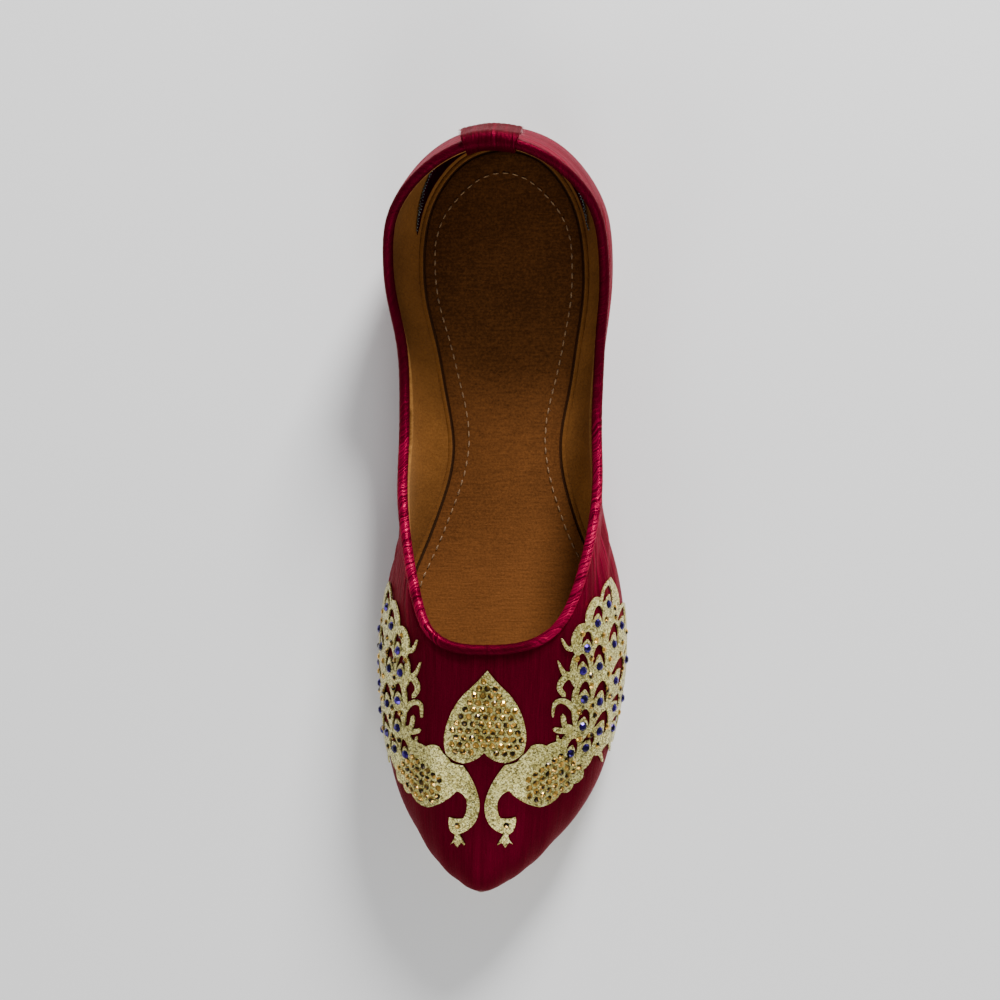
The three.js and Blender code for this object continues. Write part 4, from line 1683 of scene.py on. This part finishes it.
    def cloth(self, name: str, side: Side, outlines: Sequence[Sequence[Place]],
              curls: Sequence[Sequence[Place]], finish: bpy.types.Material, node: str) -> None:
        """Cuts one piece of glitter cloth and lays it on the vamp.

        Args:
            name: the piece's name.
            side: the side of the shoe that it lies on.
            outlines: its outline and its openings.
            curls: outlines of the curls beside it.
            finish: its material.
            node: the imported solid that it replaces.
        """
        piece = self.flat(name, outlines)
        self.lay(piece, side, self.lift)
        if curls:
            tucked = [self.flat(f"{name}_curl", [curl]) for curl in curls]
            for curl in tucked:
                self.lay(curl, side, self.lift - self.curl_tuck)
            make_active(piece)
            for curl in tucked:
                curl.select_set(True)
            bpy.ops.object.join()
        piece.data.materials.clear()
        finish_piece(piece, [finish], "glitter_cloth", node, angle=40)

    def lay(self, piece: Piece, side: Side, lift: float) -> None:
        """Bends a flat piece onto the vamp and gives it its thickness.

        Args:
            piece: the flat piece.
            side: the side of the shoe.
            lift: its distance from the satin, in millimetres.
        """
        for vertex in piece.data.vertices:
            vertex.co = self.last.lifted(side, vertex.co.x, vertex.co.y, lift)[0]
        if side is Side.INNER:
            piece.data.flip_normals()
        piece.data.update()
        apply_modifier(piece, "SOLIDIFY", thickness=self.thickness * MM, offset=1.0)

    def stones(self, name: str, places: Sequence[tuple[Side, float, float]], radius: float, slot: str,
               finish: Stone) -> None:
        """Sets stones of one kind on the glitter cloth.

        Args:
            name: the piece's name.
            places: side and place on the chart of each stone.
            radius: the stones' radius, in millimetres.
            slot: the record's material slot.
            finish: the stones' finish.
        """
        model = self.cut_stone()
        draw = random.Random(len(places))
        matrices: list[Matrix] = []
        for side, across, along in places:
            height = self.lift + self.thickness - self.stone_sink
            spot, normal = self.last.lifted(side, across, along, height)
            turn = draw.uniform(0, math.tau)
            ahead = Vector((math.cos(turn), math.sin(turn), 0.2))
            lean = Vector([draw.uniform(-1, 1) for _ in range(3)]) * self.stone_lean
            matrices.append(frame_at(spot, ahead, normal + lean, Vector((radius, radius, radius)) * MM))
        finish_piece(joined_copies(name, model, matrices), [finish.material()], slot, angle=None)

    def cut_stone(self) -> Piece:
        """Cuts a faceted stone with a radius of 1, whose foot reaches below the floor.

        Returns:
            The model, at the origin.
        """
        bpy.ops.object.select_all(action="DESELECT")
        bpy.ops.mesh.primitive_cone_add(vertices=8, radius1=1.0, radius2=0.5, depth=0.5,
                                        location=(0, 0, 0.37))
        model = bpy.context.active_object
        model.data.transform(model.matrix_world)
        bpy.ops.object.mode_set(mode="EDIT")
        select_faces(model, lambda face: face.normal.z < -0.9)
        bpy.ops.mesh.extrude_region_move(TRANSFORM_OT_translate={"value": (0, 0, -self.stone_bevel)})
        select_faces(model, lambda face: face.normal.z > 0.9)
        bpy.ops.mesh.bevel(offset=self.stone_bevel, segments=1)
        bpy.ops.object.mode_set(mode="OBJECT")
        return model


@dataclass
class Seams:
    """The lining's folded edge under the collar with its stitches, and those of the back seam."""

    last: Last
    upper: Piece
    stitch_drop: float = 4.3
    fold_drop: float = 2.4
    fold_radius: float = 0.8
    fold_stand: float = 0.65
    inside_start: float = 9.0
    reach: float = 14.0
    slack: float = 2.2
    back_heights: Range = (13.5, 43.0)
    back_points: int = 30
    back_reach: float = 40.0
    collar_row: StitchRow = StitchRow("collar_stitches", 1.3, 0.7, 0.17,
                                      Thread("lining_thread", (0.34, 0.17, 0.05), (0.7, 0.42, 0.17)),
                                      slant=24)
    back_row: StitchRow = StitchRow("back_seam_stitches", 1.5, 1.1, 0.15,
                                    Thread("crimson_thread", (0.12, 0.002, 0.014), (0.36, 0.01, 0.05)))

    def below(self, cores: Sequence[Vector], skin: BVHTree, drop: float, stand: float = 0.0
              ) -> list[Vector]:
        """Follows the lining below the collar's roll.

        Args:
            cores: points along the middle of the roll, once round.
            skin: the upper's surface.
            drop: how far below the roll's middle, in millimetres.
            stand: how far off the lining, in millimetres.

        Returns:
            The points along the lining.
        """
        middle = self.last.opening_centre()
        route: list[Vector] = []
        for core in cores:
            way = (core - middle).xy.to_3d().normalized()
            start = core - way * (self.inside_start * MM) - Vector((0, 0, drop * MM))
            hit, normal, _, _ = skin.ray_cast(start, way, self.reach * MM)
            if hit is not None and normal.dot(way) < 0 and (hit - core).length < self.slack * drop * MM:
                route.append(hit - way * (stand * MM))
        return route

    def build(self, cores: Sequence[Vector]) -> None:
        """Sews both rows, and folds the lining's edge.

        Args:
            cores: points along the middle of the collar's roll, once round.
        """
        skin = surface_of(self.upper)
        self.collar_row.sew(self.below(cores, skin, self.stitch_drop), skin)
        fold = self.below(cores, skin, self.fold_drop, self.fold_stand)
        suede = Suede("suede_fold", light=(0.42, 0.19, 0.045)).material()
        finish_piece(threads("lining_fold", [fold + fold[:1]], self.fold_radius), [suede], "insole_suede")
        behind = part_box("outsole")[1].y + self.back_reach * MM
        back: list[Vector] = []
        for step in range(self.back_points):
            height = mix(*self.back_heights, step / (self.back_points - 1)) * MM
            start = Vector((self.last.heel_middle, behind, height))
            hit, _, _, _ = skin.ray_cast(start, Vector((0, -1, 0)))
            if hit is not None:
                back.append(hit)
        self.back_row.sew(back, skin)


@dataclass
class Camera:
    """The camera above the shoe, looking as the photograph does."""

    tilt_x: float = 4.64
    tilt_y: float = 7.21
    roll: float = -0.34
    distance: float = 0.619
    target_height: float = 0.02
    lens: float = 70.7
    sensor: float = 36.0

    def build(self) -> None:
        """Places the camera."""
        back = Vector((math.tan(math.radians(self.tilt_x)), -math.tan(math.radians(self.tilt_y)), 1.0))
        back.normalize()
        up = Vector((0, 1, 0)) - back * back.y
        up.normalize()
        right = up.cross(back)
        turn = math.radians(self.roll)
        right, up = (right * math.cos(turn) + up * math.sin(turn),
                     up * math.cos(turn) - right * math.sin(turn))
        data = bpy.data.cameras.new("camera")
        settle(data, lens=self.lens, sensor_width=self.sensor, clip_start=0.01)
        camera = bpy.data.objects.new("camera", data)
        camera.matrix_world = Matrix((right, up, back)).transposed().to_4x4()
        camera.location = Vector((0, 0, self.target_height)) + back * self.distance
        bpy.context.scene.collection.objects.link(camera)
        bpy.context.scene.camera = camera


@dataclass(frozen=True)
class Lamp:
    """One soft light."""

    name: str
    place: tuple[float, float, float]
    size: float
    power: float

    def build(self) -> None:
        """Places the light, aimed at the shoe."""
        data = bpy.data.lights.new(self.name, "AREA")
        settle(data, shape="DISK", size=self.size, energy=self.power)
        lamp = bpy.data.objects.new(self.name, data)
        lamp.location = self.place
        lamp.rotation_euler = (-Vector(self.place)).to_track_quat("-Z", "Y").to_euler()
        bpy.context.scene.collection.objects.link(lamp)


@dataclass
class Studio:
    """Floor, soft lights and the pale surroundings."""

    floor_size: float = 6.0
    surroundings: float = 0.3
    lamps: tuple[Lamp, ...] = (
        Lamp("key_light", (0.42, 1.12, 0.62), 0.4, 34.0),
        Lamp("fill_light", (-0.9, -0.8, 0.9), 0.7, 4.0),
        Lamp("front_light", (0.3, -1.2, 0.8), 0.7, 10.0),
    )

    def build(self) -> None:
        """Makes the floor, the lights and the world."""
        bpy.ops.object.select_all(action="DESELECT")
        bpy.ops.mesh.primitive_plane_add(size=self.floor_size)
        floor = bpy.context.active_object
        floor.name = "floor"
        floor.data.materials.append(Wall("pale_floor").material())
        for lamp in self.lamps:
            lamp.build()
        world = bpy.data.worlds.new("surroundings")
        world.use_nodes = True
        background = world.node_tree.nodes["Background"]
        background.inputs["Color"].default_value = (1, 1, 1, 1)
        background.inputs["Strength"].default_value = self.surroundings
        bpy.context.scene.world = world


def main() -> None:
    """Builds the shoe's pieces in order and reports each."""
    logging.basicConfig(level=logging.INFO, format="%(message)s")
    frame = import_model()
    nodes = frame["nodes"]
    Camera().build()
    Studio().build()
    LOG.info("camera, floor and lights are set")

    upper = Upper(nodes["upper"], nodes["collar_binding"])
    upper.build()
    toe = min(nodes["outsole"].data.vertices, key=lambda vertex: vertex.co.y).co
    throat = min(nodes["collar_binding"].data.vertices, key=lambda vertex: vertex.co.y).co
    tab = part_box("heel_tab")
    last = Last(upper.piece, nodes["insole"], toe.y, toe.x, throat.x, (tab[0].x + tab[1].x) / 2)
    upper.dress(last)
    LOG.info("upper_cloth is dressed")
    edging = Edging(nodes["collar_binding"])
    edging.build(last)
    LOG.info("collar_edging is rolled")
    Insole(nodes["insole"]).build(last)
    LOG.info("insole_padded is sewn")
    Sole(nodes["outsole"], nodes["heel_lift"]).build()
    LOG.info("outsole_leather and lift_leather are cut")
    Tab(nodes["heel_tab"]).build()
    LOG.info("tab_ribbon is folded")
    Grip(nodes["heel_grip"]).build()
    LOG.info("grip_lining is sewn")
    Seams(last, upper.piece).build(edging.centres)
    LOG.info("collar_stitches, lining_fold and back_seam_stitches are sewn")
    Ornament(last).build()
    LOG.info("leaf, birds and stones are laid on")


if __name__ == "__main__":
    main()
